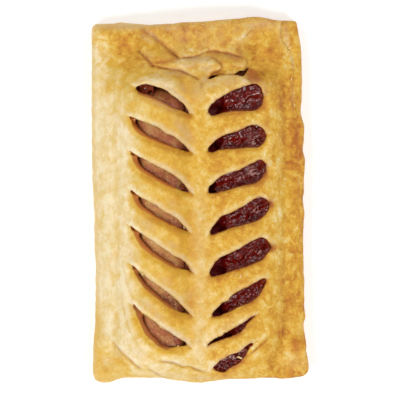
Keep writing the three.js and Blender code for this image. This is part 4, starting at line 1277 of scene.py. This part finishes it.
# butter-yellow spots, mostly by the slits' left ends
yellow = spots([
    (136, 102, 3, 2.6, 0, 1.0), (129, 123, 3, 4, 60, 0.8), (131, 163, 3, 5, -60, 0.8), (130, 198, 2.5, 5, -60, 0.6), (133, 238, 2.5, 6, -60, 0.7),
    (132, 276, 2.5, 6, -60, 0.7), (134, 319, 3, 6, -70, 1.0), (141, 335, 3, 7, -55, 0.9), (152, 73.4, 14, 3.0, -6, 1.1), (168, 76, 8, 2.6, -20, 0.8),
    (152, 47, 8, 4, -30, 0.9), (161, 53, 6, 4, -20, 0.9), (172, 66.6, 7, 1.6, -8, 0.8), (110, 33, 8, 4, 0, 0.6), (112, 62, 8, 8, 0, 0.6), (124, 84, 6, 8, 0, 0.5),
    (184, 45, 10, 4, 5, 0.5), (159, 50, 10, 6, -25, 1.0), (158, 76, 10, 3, -6, 1.1), (139, 80, 9, 4, -20, 1.0), (114, 84, 8, 8, 0, 0.8), (270, 82, 12, 24, 0, 0.45), (98.5, 327, 5, 14, 0, 0.4), (134, 103, 3.4, 4, 0, 1.1), (230, 62, 7, 4, 0, 0.6), (272, 120, 7, 10, 0, 0.6), (284, 190, 5, 14, 0, 0.4), (258, 152, 8, 3, 20, 0.5),
    (168, 352.6, 9, 2, -4, 0.7), (152, 344.4, 5, 2, -35, 0.6),
])
# greyish pink dough, less baked
pink = spots([
    (193, 61, 14, 3.2, 5, 0.9), (209, 60, 7, 4, -10, 0.7), (172, 73.4, 10, 2, -10, 0.8), (203, 86, 5, 6, 0, 0.5), (108, 25, 22, 1.8, 0, 0.8), (147, 39, 8, 2, -36, 0.8),
    (171, 24.4, 9, 1.8, -10, 0.6), (213, 25.6, 8, 3, 10, 0.4), (280, 33, 2, 10, 0, 0.6), (287, 45, 3, 4, 0, 0.6), (293, 62, 1.6, 6, 0, 0.7), (251, 28, 7, 2, 40, 0.5),
    (250, 35, 5, 2, 35, 0.6), (293, 95, 1.6, 10, 0, 0.5),
])
pink = np.maximum(pink, 0.9 * spots([(196, 59, 18, 3.6, 4, 1.0), (180, 70.6, 14, 2.4, -16, 1.0), (205, 80, 5, 5, 0, 0.9), (203, 88, 4, 4, 0, 0.7), (152, 35, 10, 2.6, -40, 0.9)]))
pink = np.maximum(pink, 0.22 * smooth(150, 175, U) * smooth(255, 235, U) * smooth(76, 58, V) * (0.5 + clamp01(0.5 + noise2(X, Y, 4.5, 86))))
pink = np.maximum(pink, 0.6 * spots([(162, 104, 18, 4.0, -24, 1.0), (130, 22, 36, 3.0, 3, 0.9), (200, 21, 40, 3.0, 4, 0.6)]))
pink = np.maximum(pink, 0.40 * bell(U, 200, 8.0) * smooth(170, 215, V) * smooth(378, 350, V))
pink = np.maximum(pink, np.maximum(0.9 * to_right, 0.50 * to_low))
pink = np.maximum(pink, spots([(230, 82, 13, 6, 10, 0.7), (118, 18.5, 24, 3, 2, 0.9), (208, 345, 8, 5, 20, 0.6), (107, 364, 8, 8, 0, 0.4), (196, 270, 6, 30, 0, 0.2),
    (148, 306, 9, 5, -35, 0.8), (184, 131, 14, 5, -56, 0.8), (172, 204, 7, 4, -35, 0.5), (172, 245, 7, 4, -35, 0.6), (148, 228, 8, 3.4, -35, 0.6), (132, 259, 3, 7, 0, 0.5), (166, 281, 7, 4, -35, 0.6),
    (188, 296, 5, 7, -50, 0.5), (181.5, 88, 8, 4, -35, 0.6), (197, 342, 7, 5, 0, 0.6), (118, 354, 7, 4, -30, 0.5), (198, 92, 8, 11, 0, 0.6), (132, 27, 22, 3, 2, 0.8), (172, 28, 9, 3, 0, 0.8), (252, 25, 6, 4, 60, 0.6), (202, 378, 13, 2.5, 0, 0.7), (297, 362, 12, 8, 0, 0.3)]))
pink = np.maximum(pink, spots([(104, 84, 4, 6, 0, 0.5), (106, 55, 6, 5, 0, 0.5), (149, 55, 6, 4, -40, 0.4), (188, 65.4, 8, 3, 0, 0.9), (206, 68.4, 7, 3, 0, 0.9), (241, 65, 6, 3, 0, 0.5), (135, 256, 3, 6, 30, 0.5), (131, 308, 3, 5, 0, 0.6),
    (158, 316, 9, 4.4, -35, 0.8), (148, 225, 8, 4, -35, 0.7), (231, 327, 9, 4, 33, 0.6), (138, 352, 7, 4, -30, 0.5), (172, 376, 9, 3, 0, 0.6), (148, 31, 9, 3, -30, 0.5), (252, 25, 7, 5, 50, 0.8)]))
pink = np.maximum(pink, 0.8 * spots([(262, 24, 24, 5, 0, 0.8), (286, 36, 3, 14, 0, 0.8), (135, 25, 45, 4.5, 2, 1.0), (213, 84, 9, 5, 10, 0.8), (172, 88, 14, 5, -38, 0.7), (225, 327, 16, 5, 33, 0.5)]))
# reddish brown sauce stains, and painted shade by the hole at the flap's right end, under the tongue's right lobe,
# along the gap above the first strip and in the band under the long lip
red_stain_and_shade = spots([
    (251, 78, 8, 4.5, -35, 0.75), (265.6, 172, 3, 6.5, -10, 1.0), (270.8, 204, 3.4, 4.4, 0, 1.0), (272.8, 248, 3.6, 3.8, 0, 1.0), (292, 100, 2, 14, 4, 0.4),
    (297, 130, 2, 14, 0, 0.7), (292, 118, 2, 7, -20, 0.6), (299, 160, 2, 9, 0, 0.6), (275, 82, 6, 8, 0, 0.3), (283, 140, 5, 9, 40, 0.35), (298, 190, 2, 16, 0, 0.55),
    (301, 225, 1.6, 12, 0, 0.5), (298, 345, 4, 12, 0, 0.35), (287, 100, 2, 12, 25, 0.4), (252, 75.6, 7, 4.4, -30, 1.1), (264.6, 98, 2.6, 13, 0, 0.7), (267, 122, 3, 7, 0, 0.7), (258, 82, 6, 3, -35, 0.8), (214, 73, 5, 2.6, 8, 0.9),
    (290, 319, 5, 3, 0, 0.35), (281, 335, 4, 3, 0, 0.35), (150, 62, 4, 2.4, 40, 0.5), (171, 60.6, 9, 2.6, 16, 0.75), (240, 74, 8, 2.6, 20, 0.5), (253, 318, 5, 2, 40, 0.5),
])
# dark sauce stains; the spot at (247.4, 73) is painted shade by the hole at the flap's right end
stain_and_hole_shade = spots([
    (264.8, 172, 2.6, 6.5, -10, 1.0), (270.4, 204, 3, 4.4, 0, 1.0), (272.4, 247.6, 3.4, 3.6, 0, 1.0), (266, 280, 2, 2.6, 0, 0.5), (265.6, 134, 1.8, 4, 0, 0.6),
    (222, 115.4, 9, 1.2, 8, 0.5), (250, 186, 12, 1.4, 12, 0.6), (232, 270.4, 12, 1.3, 16, 0.5), (236, 366, 7, 2.0, 30, 0.6), (246, 356, 3, 2, 45, 0.6),
    (238, 335, 8, 1.6, 30, 0.5), (240, 228, 14, 1.2, 14, 0.4), (241, 361, 4.4, 2.0, 40, 0.8), (247.4, 73, 2.4, 3.4, 0, 0.6), (248, 327.6, 5, 1.8, 35, 0.5), (292.8, 106, 0.8, 8, 8, 0.45), (296.4, 134, 0.8, 12, 6, 0.55), (298.6, 164, 0.7, 9, 3, 0.35), (299.6, 192, 0.7, 10, 0, 0.35),
])
red_stain_and_shade = np.maximum(red_stain_and_shade, 0.8 * part_r * smooth(0.75, 0.1, deep_d) * smooth(-0.2, 0.3, rim - deep_d))


def pastry_attributes(ob):
    x, y, z = coordinates(ob).T
    depth = on_grid(top, x, y) - z
    plan = on_grid(plan_in, x, y)
    over = smooth(3.0, 6.0, plan)
    attribute(ob, "bake_and_shade", on_grid(bake_and_shade, x, y))
    attribute(ob, "mottle", on_grid(mottle, x, y))
    attribute(ob, "roll", on_grid(roll, x, y) * over)
    attribute(ob, "wall", smooth(0.7, 2.2, depth) * over)
    attribute(ob, "side", smooth(0.8, 2.4, depth) * smooth(3.2, 1.4, plan))
    attribute(ob, "line", on_grid(crease_shade, x, y))
    attribute(ob, "yellow", on_grid(yellow, x, y))
    attribute(ob, "pink", on_grid(pink, x, y))
    attribute(ob, "red_stain_and_shade", on_grid(red_stain_and_shade, x, y))
    attribute(ob, "stain_and_hole_shade", on_grid(stain_and_hole_shade, x, y))
    attribute(ob, "gap_shade", smooth(1.2, 0.4, on_grid(gap_d, x, y)))
    attribute(ob, "sauceside", smooth(0, 5, x))
    attribute(ob, "east", smooth(-36, 36, x + 3.0 * noise2(x, y, 6.0, 89)))
    attribute(ob, "south", smooth(vy(225), vy(290), y) * smooth(-6.5, -11.0, x))


pastry_attributes(pastry)


def crust():
    n = Nodes("baked_puff_pastry")
    fine = n.noise(1.1, 3, 0.6, 0.2, seed=1)
    mid = n.noise(3.0, 4, 0.62, 0.4, seed=2)
    big = n.noise(9.0, 3, 0.5, 0.3, seed=3)
    b = n.attr("bake_and_shade")
    uneven = n.math("ADD", n.math("MULTIPLY", n.math("SUBTRACT", big, 0.5), 0.4), n.math("MULTIPLY", n.math("SUBTRACT", mid, 0.5), 0.5))
    uneven = n.math("ADD", uneven, n.math("MULTIPLY", n.math("SUBTRACT", fine, 0.5), 0.36))
    b = n.math("MULTIPLY_ADD", uneven, n.attr("mottle"), b)
    vein = n.math("SUBTRACT", 1.0, n.math("MULTIPLY", n.math("ABSOLUTE", n.math("SUBTRACT", n.noise(5.0, 3, 0.55, 0.8, seed=6), 0.5)), 9.0), clamp=True)
    b = n.math("SUBTRACT", b, n.math("MULTIPLY", n.math("MULTIPLY", vein, n.attr("mottle")), 0.09))
    blotch = n.span(n.noise(4.2, 4, 0.62, 0.6, seed=31), 0.42, 0.57, -0.5, 0.5)
    b = n.math("MULTIPLY_ADD", n.math("MULTIPLY", blotch, n.attr("mottle")), 0.15, b)
    pale_fleck = n.span(n.noise(1.5, 3, 0.6, 0.5, seed=32), 0.585, 0.66)
    dark_fleck = n.span(n.noise(1.9, 3, 0.6, 0.5, seed=33), 0.60, 0.68)
    b = n.math("MULTIPLY_ADD", n.math("MULTIPLY", pale_fleck, n.attr("mottle")), -0.13, b)
    b = n.math("MULTIPLY_ADD", n.math("MULTIPLY", dark_fleck, n.attr("mottle")), 0.13, b, clamp=True)
    colour = n.ramp(
        b,
        (0.0, srgb(246, 228, 186)),
        (0.15, srgb(239, 212, 154)),
        (0.28, srgb(232, 198, 116)),
        (0.42, srgb(226, 182, 78)),
        (0.55, srgb(220, 169, 52)),
        (0.66, srgb(212, 156, 44)),
        (0.80, srgb(203, 139, 36)),
        (1.0, srgb(180, 104, 26)),
    )
    patchy = n.span(n.noise(1.8, 2, 0.5, seed=8), 0.38, 0.6)
    colour = n.mix(n.math("MULTIPLY", n.attr("yellow"), n.math("MULTIPLY_ADD", patchy, 0.5, 0.25)), colour, srgb(216, 166, 30))
    colour = n.mix(n.math("MULTIPLY", n.attr("pink"), n.math("MULTIPLY_ADD", patchy, 0.3, 0.5)), colour, srgb(214, 180, 136))
    colour = n.mix(n.math("MULTIPLY", n.attr("red_stain_and_shade"), n.math("MULTIPLY_ADD", patchy, 0.5, 0.4)), colour, srgb(184, 106, 42))
    colour = n.mix(n.math("MULTIPLY", n.attr("stain_and_hole_shade"), n.math("MULTIPLY_ADD", patchy, 0.4, 0.6)), colour, srgb(152, 68, 28))
    colour = n.mix(n.math("MULTIPLY", n.attr("side"), 0.5), colour, n.mix(n.attr("east"), srgb(230, 192, 116), srgb(200, 136, 42)))
    # the rolled edge darkens to its inner edge: partly the moist dough's own caramel, partly painted shade in the
    # crevice against the filling
    wall_left = n.ramp(n.attr("roll"), (0.0, srgb(216, 166, 54)), (0.14, srgb(206, 144, 44)), (0.30, srgb(192, 117, 36)), (0.62, srgb(183, 105, 40)), (0.86, srgb(165, 86, 34)), (0.97, srgb(112, 44, 10)))
    wall_left = n.mix(n.math("MULTIPLY", n.attr("south"), 0.45), wall_left, srgb(132, 66, 26))
    wall_left = n.mix(n.math("MULTIPLY", n.attr("pink"), 0.6), wall_left, srgb(202, 150, 100))
    wall_right = n.ramp(n.attr("roll"), (0.0, srgb(210, 150, 66)), (0.4, srgb(186, 108, 56)), (0.9, srgb(120, 40, 24)))
    side_colour = n.mix(n.attr("sauceside"), wall_left, wall_right)
    colour = n.mix(n.span(n.attr("roll"), 0.01, 0.16), colour, side_colour)
    # painted shade along the laps' creases
    colour = n.mix(n.math("MULTIPLY", n.attr("line"), 0.85), colour, srgb(164, 98, 44))
    cut_colour = n.mix(n.attr("sauceside"), srgb(176, 104, 50), srgb(140, 62, 34))
    # painted shade: the cut walls are darker by the dark gaps under the flap
    cut_colour = n.mix(n.attr("gap_shade"), cut_colour, srgb(122, 62, 24))
    colour = n.mix(n.attr("wall"), colour, cut_colour)
    n.link(colour, n.bsdf.inputs["Base Color"])
    n.link(n.span(mid, 0.3, 0.7, 0.5, 0.64), n.bsdf.inputs["Roughness"])
    n.bsdf.inputs["Subsurface Weight"].default_value = 0.3
    n.bsdf.inputs["Subsurface Radius"].default_value = (1.0, 0.45, 0.18)
    n.bsdf.inputs["Subsurface Scale"].default_value = 1.6 * MM
    n.bsdf.inputs["Specular IOR Level"].default_value = 0.3
    flakes = n.math("SUBTRACT", n.math("ADD", n.math("MULTIPLY", blotch, 0.5), pale_fleck), n.math("MULTIPLY", dark_fleck, 0.6))
    first = n.bump(flakes, 0.32, 0.14, n.bump(n.noise(0.8, 4, 0.6, seed=4), 0.35, 0.2))
    n.link(n.bump(n.noise(2.2, 4, 0.6, seed=5), 0.35, 0.5, first), n.bsdf.inputs["Normal"])
    return n.mat


def meat():
    n = Nodes("frikandel_skin")
    mid = n.noise(2.4, 4, 0.65, 0.4, seed=11)
    fine = n.noise(0.7, 3, 0.65, seed=12)
    k = n.math("MULTIPLY_ADD", n.math("SUBTRACT", mid, 0.5), 1.2, n.attr("place"))
    k = n.math("MULTIPLY_ADD", n.math("SUBTRACT", fine, 0.5), 1.0, k, clamp=True)
    colour = n.ramp(
        k,
        (0.0, srgb(116, 48, 22)),
        (0.3, srgb(160, 90, 48)),
        (0.55, srgb(190, 126, 66)),
        (0.8, srgb(206, 152, 84)),
        (1.0, srgb(222, 178, 112)),
    )
    colour = n.mix(n.math("MULTIPLY", n.attr("ruddy"), 0.6), colour, srgb(160, 82, 54))
    colour = n.mix(n.math("MULTIPLY", n.span(n.noise(0.9, 2, 0.5, seed=14), 0.58, 0.70), 0.5), colour, srgb(222, 178, 128))
    tone = n.noise(3.6, 3, 0.6, 0.5, seed=15)
    colour = n.mix(n.span(tone, 0.50, 0.62, 0.0, 0.38), colour, srgb(178, 96, 74))
    colour = n.mix(n.span(tone, 0.49, 0.38, 0.0, 0.40), colour, srgb(196, 152, 88))
    n.link(colour, n.bsdf.inputs["Base Color"])
    n.bsdf.inputs["Roughness"].default_value = 0.45
    n.bsdf.inputs["Specular IOR Level"].default_value = 0.3
    n.link(n.bump(fine, 0.5, 0.2), n.bsdf.inputs["Normal"])
    return n.mat


def ketchup():
    n = Nodes("thick_red_sauce")
    mid = n.noise(2.0, 3, 0.6, 0.3, seed=21)
    fine = n.noise(0.6, 3, 0.6, seed=22)
    colour = n.ramp(mid, (0.3, srgb(72, 3, 1)), (0.5, srgb(94, 9, 4)), (0.75, srgb(122, 24, 11)))
    colour = n.mix(n.math("MULTIPLY", n.attr("thin"), 0.75), colour, srgb(140, 58, 28))
    # painted highlight on the sauce
    colour = n.mix(n.math("MULTIPLY", n.attr("painted_highlight"), n.span(n.noise(1.5, 3, 0.6, 0.5, seed=23), 0.51, 0.58, 0.0, 0.85)), colour, srgb(222, 180, 174))
    colour = n.mix(n.attr("cave"), colour, srgb(122, 0, 0))
    n.link(colour, n.bsdf.inputs["Base Color"])
    n.link(n.span(n.attr("dull"), 0.0, 1.0, 0.13, 0.55), n.bsdf.inputs["Roughness"])
    n.bsdf.inputs["Specular IOR Level"].default_value = 0.32
    n.link(n.bump(fine, 0.12, 0.08), n.bsdf.inputs["Normal"])
    return n.mat


x, y, z = coordinates(rod).T
run = on_grid(slit_run, x, y)
# painted light and shade: paler by each slit's upper edge, darker by its lower edge and towards its right end where the
# crust overhangs; the row bells darken some rows, partly the meat's own tone and partly painted shade at their right
# ends
place = 0.60 + 0.36 * np.exp(-on_grid(upper_d, x, y) / 0.9) * smooth(0.75, 0.25, run) - 0.34 * np.exp(-on_grid(lower_d, x, y) / 0.8) - 0.5 * smooth(0.72, 1.0, run)
place -= 0.30 * bell(y, vy(178), 8.0) + (0.06 + 0.34 * smooth(0.35, 0.9, run)) * bell(y, vy(98), 6.0) + 0.10 * bell(y, vy(335), 8.0) + 0.08 * bell(y, vy(134), 6.0) + 0.42 * smooth(0.40, 0.70, run) * bell(y, vy(300), 6.0) + 0.25 * smooth(0.45, 0.75, run) * bell(y, vy(341), 3.5)
attribute(rod, "place", place)
attribute(rod, "ruddy", np.maximum(0.8 * bell(y, vy(132), 7.0), np.maximum(0.7 * bell(y, vy(98), 6.0), 0.8 * bell(y, vy(335), 6.0))))
x, y, z = coordinates(sauce).T
d = on_grid(deep_d, x, y)
thin = smooth(-0.9, 0.0, d) * smooth(0.2, 1.0, on_grid(upper_d, x, y) - on_grid(lower_d, x, y))
thin = np.maximum(thin, smooth(-2.5, -4.0, x) * smooth(-16.0, -12.0, x))
thin = np.maximum(thin, 1.2 * smooth(-17.5, -19.5, x) * smooth(0.0, 1.0, on_grid(upper_d, x, y)))
thin = np.maximum(thin, 0.7 * smooth(2.6, 0.4, along_rows(RIGHT_ENDS, y) - x))
attribute(sauce, "thin", thin)
cave = smooth(-0.2, 2.4, along_rows(HOLLOWS, y) + 1.3 * noise2(x, y, 2.2, 74) - x) * smooth(0.5, 2.5, x)
attribute(sauce, "cave", 0.9 * cave)
attribute(sauce, "dull", np.maximum(smooth(2.0, 0.0, x) * smooth(-16.0, -14.0, x), cave))
# painted highlight: pale pink spots on the sauce where the wet lumps would catch the lamps
painted_highlight = np.zeros(len(x))
for u, v, r, amount in ((256.4, 141, 2.2, 1.0), (253, 173, 2.2, 0.75), (241, 178, 1.5, 0.5), (256, 208, 2.0, 0.75), (257.6, 254, 2.0, 0.7), (238, 352.4, 2.2, 1.0), (232, 357, 2.2, 1.0), (225, 362, 2.4, 1.0), (248, 130, 1.6, 0.8)):
    painted_highlight = np.maximum(painted_highlight, amount * np.exp(-((x - ux(u)) ** 2 + (y - vy(v)) ** 2) / r**2))
attribute(sauce, "painted_highlight", painted_highlight)

def crumb():
    n = Nodes("loose_pastry_flake")
    b = n.noise(0.9, 3, 0.6, 0.3, seed=41)
    colour = n.ramp(b, (0.3, srgb(246, 226, 178)), (0.5, srgb(238, 208, 144)), (0.7, srgb(222, 172, 88)))
    n.link(colour, n.bsdf.inputs["Base Color"])
    n.bsdf.inputs["Roughness"].default_value = 0.6
    n.bsdf.inputs["Specular IOR Level"].default_value = 0.3
    n.link(n.bump(n.noise(0.4, 3, 0.6, seed=42), 0.4, 0.08), n.bsdf.inputs["Normal"])
    return n.mat


# loose flakes and crumbs, in pixels: (u, v, half length, half width, turn in degrees, half thickness in mm, lift in mm)
CRUMBS = [
    (239.4, 357.2, 3.0, 1.1, -22, 0.22, 0.3), (242.0, 358.0, 1.3, 0.9, 60, 0.2, 0.3), (142.6, 274.2, 1.7, 1.0, -35, 0.25, 0.1), (140.6, 272.6, 1.2, 0.8, 10, 0.2, 0.1),
    (155.7, 345.8, 1.0, 0.8, 0, 0.3, 0.0), (178.3, 345.6, 0.9, 0.8, 0, 0.3, 0.0), (134.8, 119.8, 1.0, 0.6, -50, 0.2, 0.1), (195.8, 31.8, 0.8, 0.7, 0, 0.25, 0.0),
    (211.0, 28.2, 0.7, 0.7, 0, 0.25, 0.0), (226.6, 22.4, 0.8, 0.6, 20, 0.2, 0.0), (193.4, 26.0, 1.6, 0.6, 10, 0.15, 0.0), (203.0, 24.4, 1.2, 0.5, -10, 0.15, 0.0),
    (262.0, 33.2, 0.7, 0.6, 0, 0.25, 0.0), (240.6, 276.2, 2.0, 0.6, 65, 0.14, 0.1), (236.0, 274.8, 1.4, 0.4, 40, 0.12, 0.1), (246.6, 275.0, 1.5, 0.4, -50, 0.12, 0.1),
    (256.0, 314.6, 0.8, 0.6, 0, 0.2, 0.0), (163.0, 307.6, 0.7, 0.6, 0, 0.25, 0.0), (205.0, 228.4, 1.5, 0.5, 20, 0.13, 0.0), (184.0, 227.6, 1.4, 0.5, -60, 0.13, 0.0),
    (285.6, 38.0, 2.2, 0.9, 70, 0.16, 0.0), (290.4, 47.6, 1.8, 0.8, 50, 0.16, 0.0), (284.2, 57.0, 1.6, 0.7, -60, 0.14, 0.0), (293.2, 62.6, 1.6, 0.7, 80, 0.15, 0.0),
    (291.8, 79.0, 1.8, 0.6, 85, 0.14, 0.0), (280.6, 27.4, 1.9, 0.8, 30, 0.15, 0.0), (294.6, 104.8, 1.4, 0.6, 85, 0.14, 0.0), (216.4, 336.6, 1.2, 0.4, -60, 0.13, 0.0),
    (221.6, 334.2, 1.1, 0.4, -40, 0.13, 0.0), (226.4, 331.2, 1.1, 0.4, -70, 0.13, 0.0), (160.6, 326.4, 1.0, 0.4, -70, 0.13, 0.0), (170.4, 331.8, 1.0, 0.4, -80, 0.13, 0.0),
]


def crumb_mesh():
    rows, sides = 7, 12
    verts, faces = [], []
    rng = np.random.default_rng(5)
    for u, v, ru, rv, turn, thick, lift in CRUMBS:
        a, base = math.radians(turn), len(verts)
        x0, y0 = float(ux(u)), float(vy(v))
        z0 = float(on_grid(top, np.array([x0]), np.array([y0]))[0]) + 0.45 * thick + lift
        tilt = rng.uniform(-0.25, 0.25, 2)
        wobble = 1 + 0.28 * rng.uniform(-1, 1, sides)
        for i in range(rows + 1):
            t = math.pi * i / rows
            for k in range(sides if 0 < i < rows else 1):
                f = 2 * math.pi * k / sides
                r = math.sin(t) ** 0.7 * wobble[k] if 0 < i < rows else 0.0
                p, q = r * ru * PX * math.cos(f), r * rv * PX * math.sin(f)
                z = math.cos(t) * thick * (1 + 0.3 * rng.uniform(-1, 1)) + tilt[0] * p + tilt[1] * q - 0.10 * p * p
                verts.append((x0 + p * math.cos(a) - q * math.sin(a), y0 + p * math.sin(a) + q * math.cos(a), z0 + z))
        first, last = base, base + 1 + (rows - 1) * sides
        for k in range(sides):
            j = (k + 1) % sides
            faces.append((first, base + 1 + k, base + 1 + j))
            for i in range(rows - 2):
                m = base + 1 + i * sides
                faces.append((m + k, m + sides + k, m + sides + j))
                faces.append((m + k, m + sides + j, m + j))
            m = base + 1 + (rows - 2) * sides
            faces.append((m + k, last, m + j))
    return mesh_object("pastry_crumbs", np.array(verts), np.array(faces))


crumbs = crumb_mesh()
crumbs.data.materials.append(crumb())
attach(crumbs, "root")
pastry.data.materials.append(crust())
rod.data.materials.append(meat())
sauce.data.materials.append(ketchup())
for ob, node, slot in ((pastry, "pastry", "pastry"), (rod, "frikandel", "frikandel"), (sauce, "sauce", "sauce")):
    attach(ob, "root")
    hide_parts(node)

# ---------------------------------------------------------------------------------------------
# floor, light, camera
# ---------------------------------------------------------------------------------------------
bpy.ops.mesh.primitive_plane_add(size=6.0, location=(0, 0, -0.0004))
floor = bpy.context.object
floor.name = "floor"
fm = Nodes("floor_white")
fm.link(fm.ramp(fm.noise(400, 1, 0.5), (0.0, (0.79, 0.79, 0.79, 1)), (1.0, (0.81, 0.81, 0.81, 1))), fm.bsdf.inputs["Base Color"])
fm.bsdf.inputs["Roughness"].default_value = 0.9
fm.bsdf.inputs["Specular IOR Level"].default_value = 0.0
fm.bsdf.inputs["Emission Color"].default_value = (1.0, 1.0, 1.0, 1.0)
fm.bsdf.inputs["Emission Strength"].default_value = 0.30
floor.data.materials.append(fm.mat)

scene = bpy.context.scene
world = bpy.data.worlds.new("studio")
scene.world = world
world.use_nodes = True
nt = world.node_tree
nt.nodes.clear()
w_out = nt.nodes.new("ShaderNodeOutputWorld")
bg = nt.nodes.new("ShaderNodeBackground")
w_coord = nt.nodes.new("ShaderNodeTexCoord")
w_xyz = nt.nodes.new("ShaderNodeSeparateXYZ")
w_span = nt.nodes.new("ShaderNodeMapRange")
w_span.interpolation_type = "SMOOTHSTEP"
for key, v in (("From Min", 0.2), ("From Max", 0.95), ("To Min", 0.55), ("To Max", 0.20)):
    w_span.inputs[key].default_value = v
nt.links.new(w_coord.outputs["Generated"], w_xyz.inputs[0])
nt.links.new(w_xyz.outputs["Z"], w_span.inputs["Value"])
nt.links.new(w_span.outputs[0], bg.inputs["Strength"])
bg.inputs["Color"].default_value = (1.0, 1.0, 1.0, 1.0)
nt.links.new(bg.outputs[0], w_out.inputs[0])


def area(name, place, aim, size, watts, colour=(1, 1, 1)):
    data = bpy.data.lights.new(name, "AREA")
    data.shape = "RECTANGLE"
    data.size, data.size_y = size
    data.energy = watts
    data.color = colour
    ob = bpy.data.objects.new(name, data)
    bpy.context.collection.objects.link(ob)
    ob.location = place
    d = np.array(aim, float) - np.array(place, float)
    d /= np.linalg.norm(d)
    import mathutils

    ob.rotation_euler = mathutils.Vector(d).to_track_quat("-Z", "Y").to_euler()
    return ob


# four soft boxes around the table
for name, azimuth, watts in (("box_southwest", 222, 5.2), ("box_southeast", 318, 4.8), ("box_northwest", 138, 2.8), ("box_northeast", 45, 2.8)):
    a = math.radians(azimuth)
    area(name, (0.68 * math.cos(a), 0.68 * math.sin(a), 0.82), (0, 0, 0.01), (0.32, 0.32), watts)

cam = bpy.data.cameras.new("camera")
cam.sensor_width = 36.0
cam_ob = bpy.data.objects.new("camera", cam)
bpy.context.collection.objects.link(cam_ob)
FAR = 4.0
MID_Z = 0.015
cam.lens = 36.0 * (FAR - MID_Z) / (400 * PX * MM)
cam.clip_end = 20.0
centre = ((200.0 - CX) * PX * MM, (CY - 200.0) * PX * MM)
cam_ob.location = (centre[0], centre[1], FAR)
cam_ob.rotation_euler = (0, 0, 0)
scene.camera = cam_ob

scene.view_settings.view_transform = "Standard"
scene.view_settings.look = "None"
scene.view_settings.exposure = 0.0
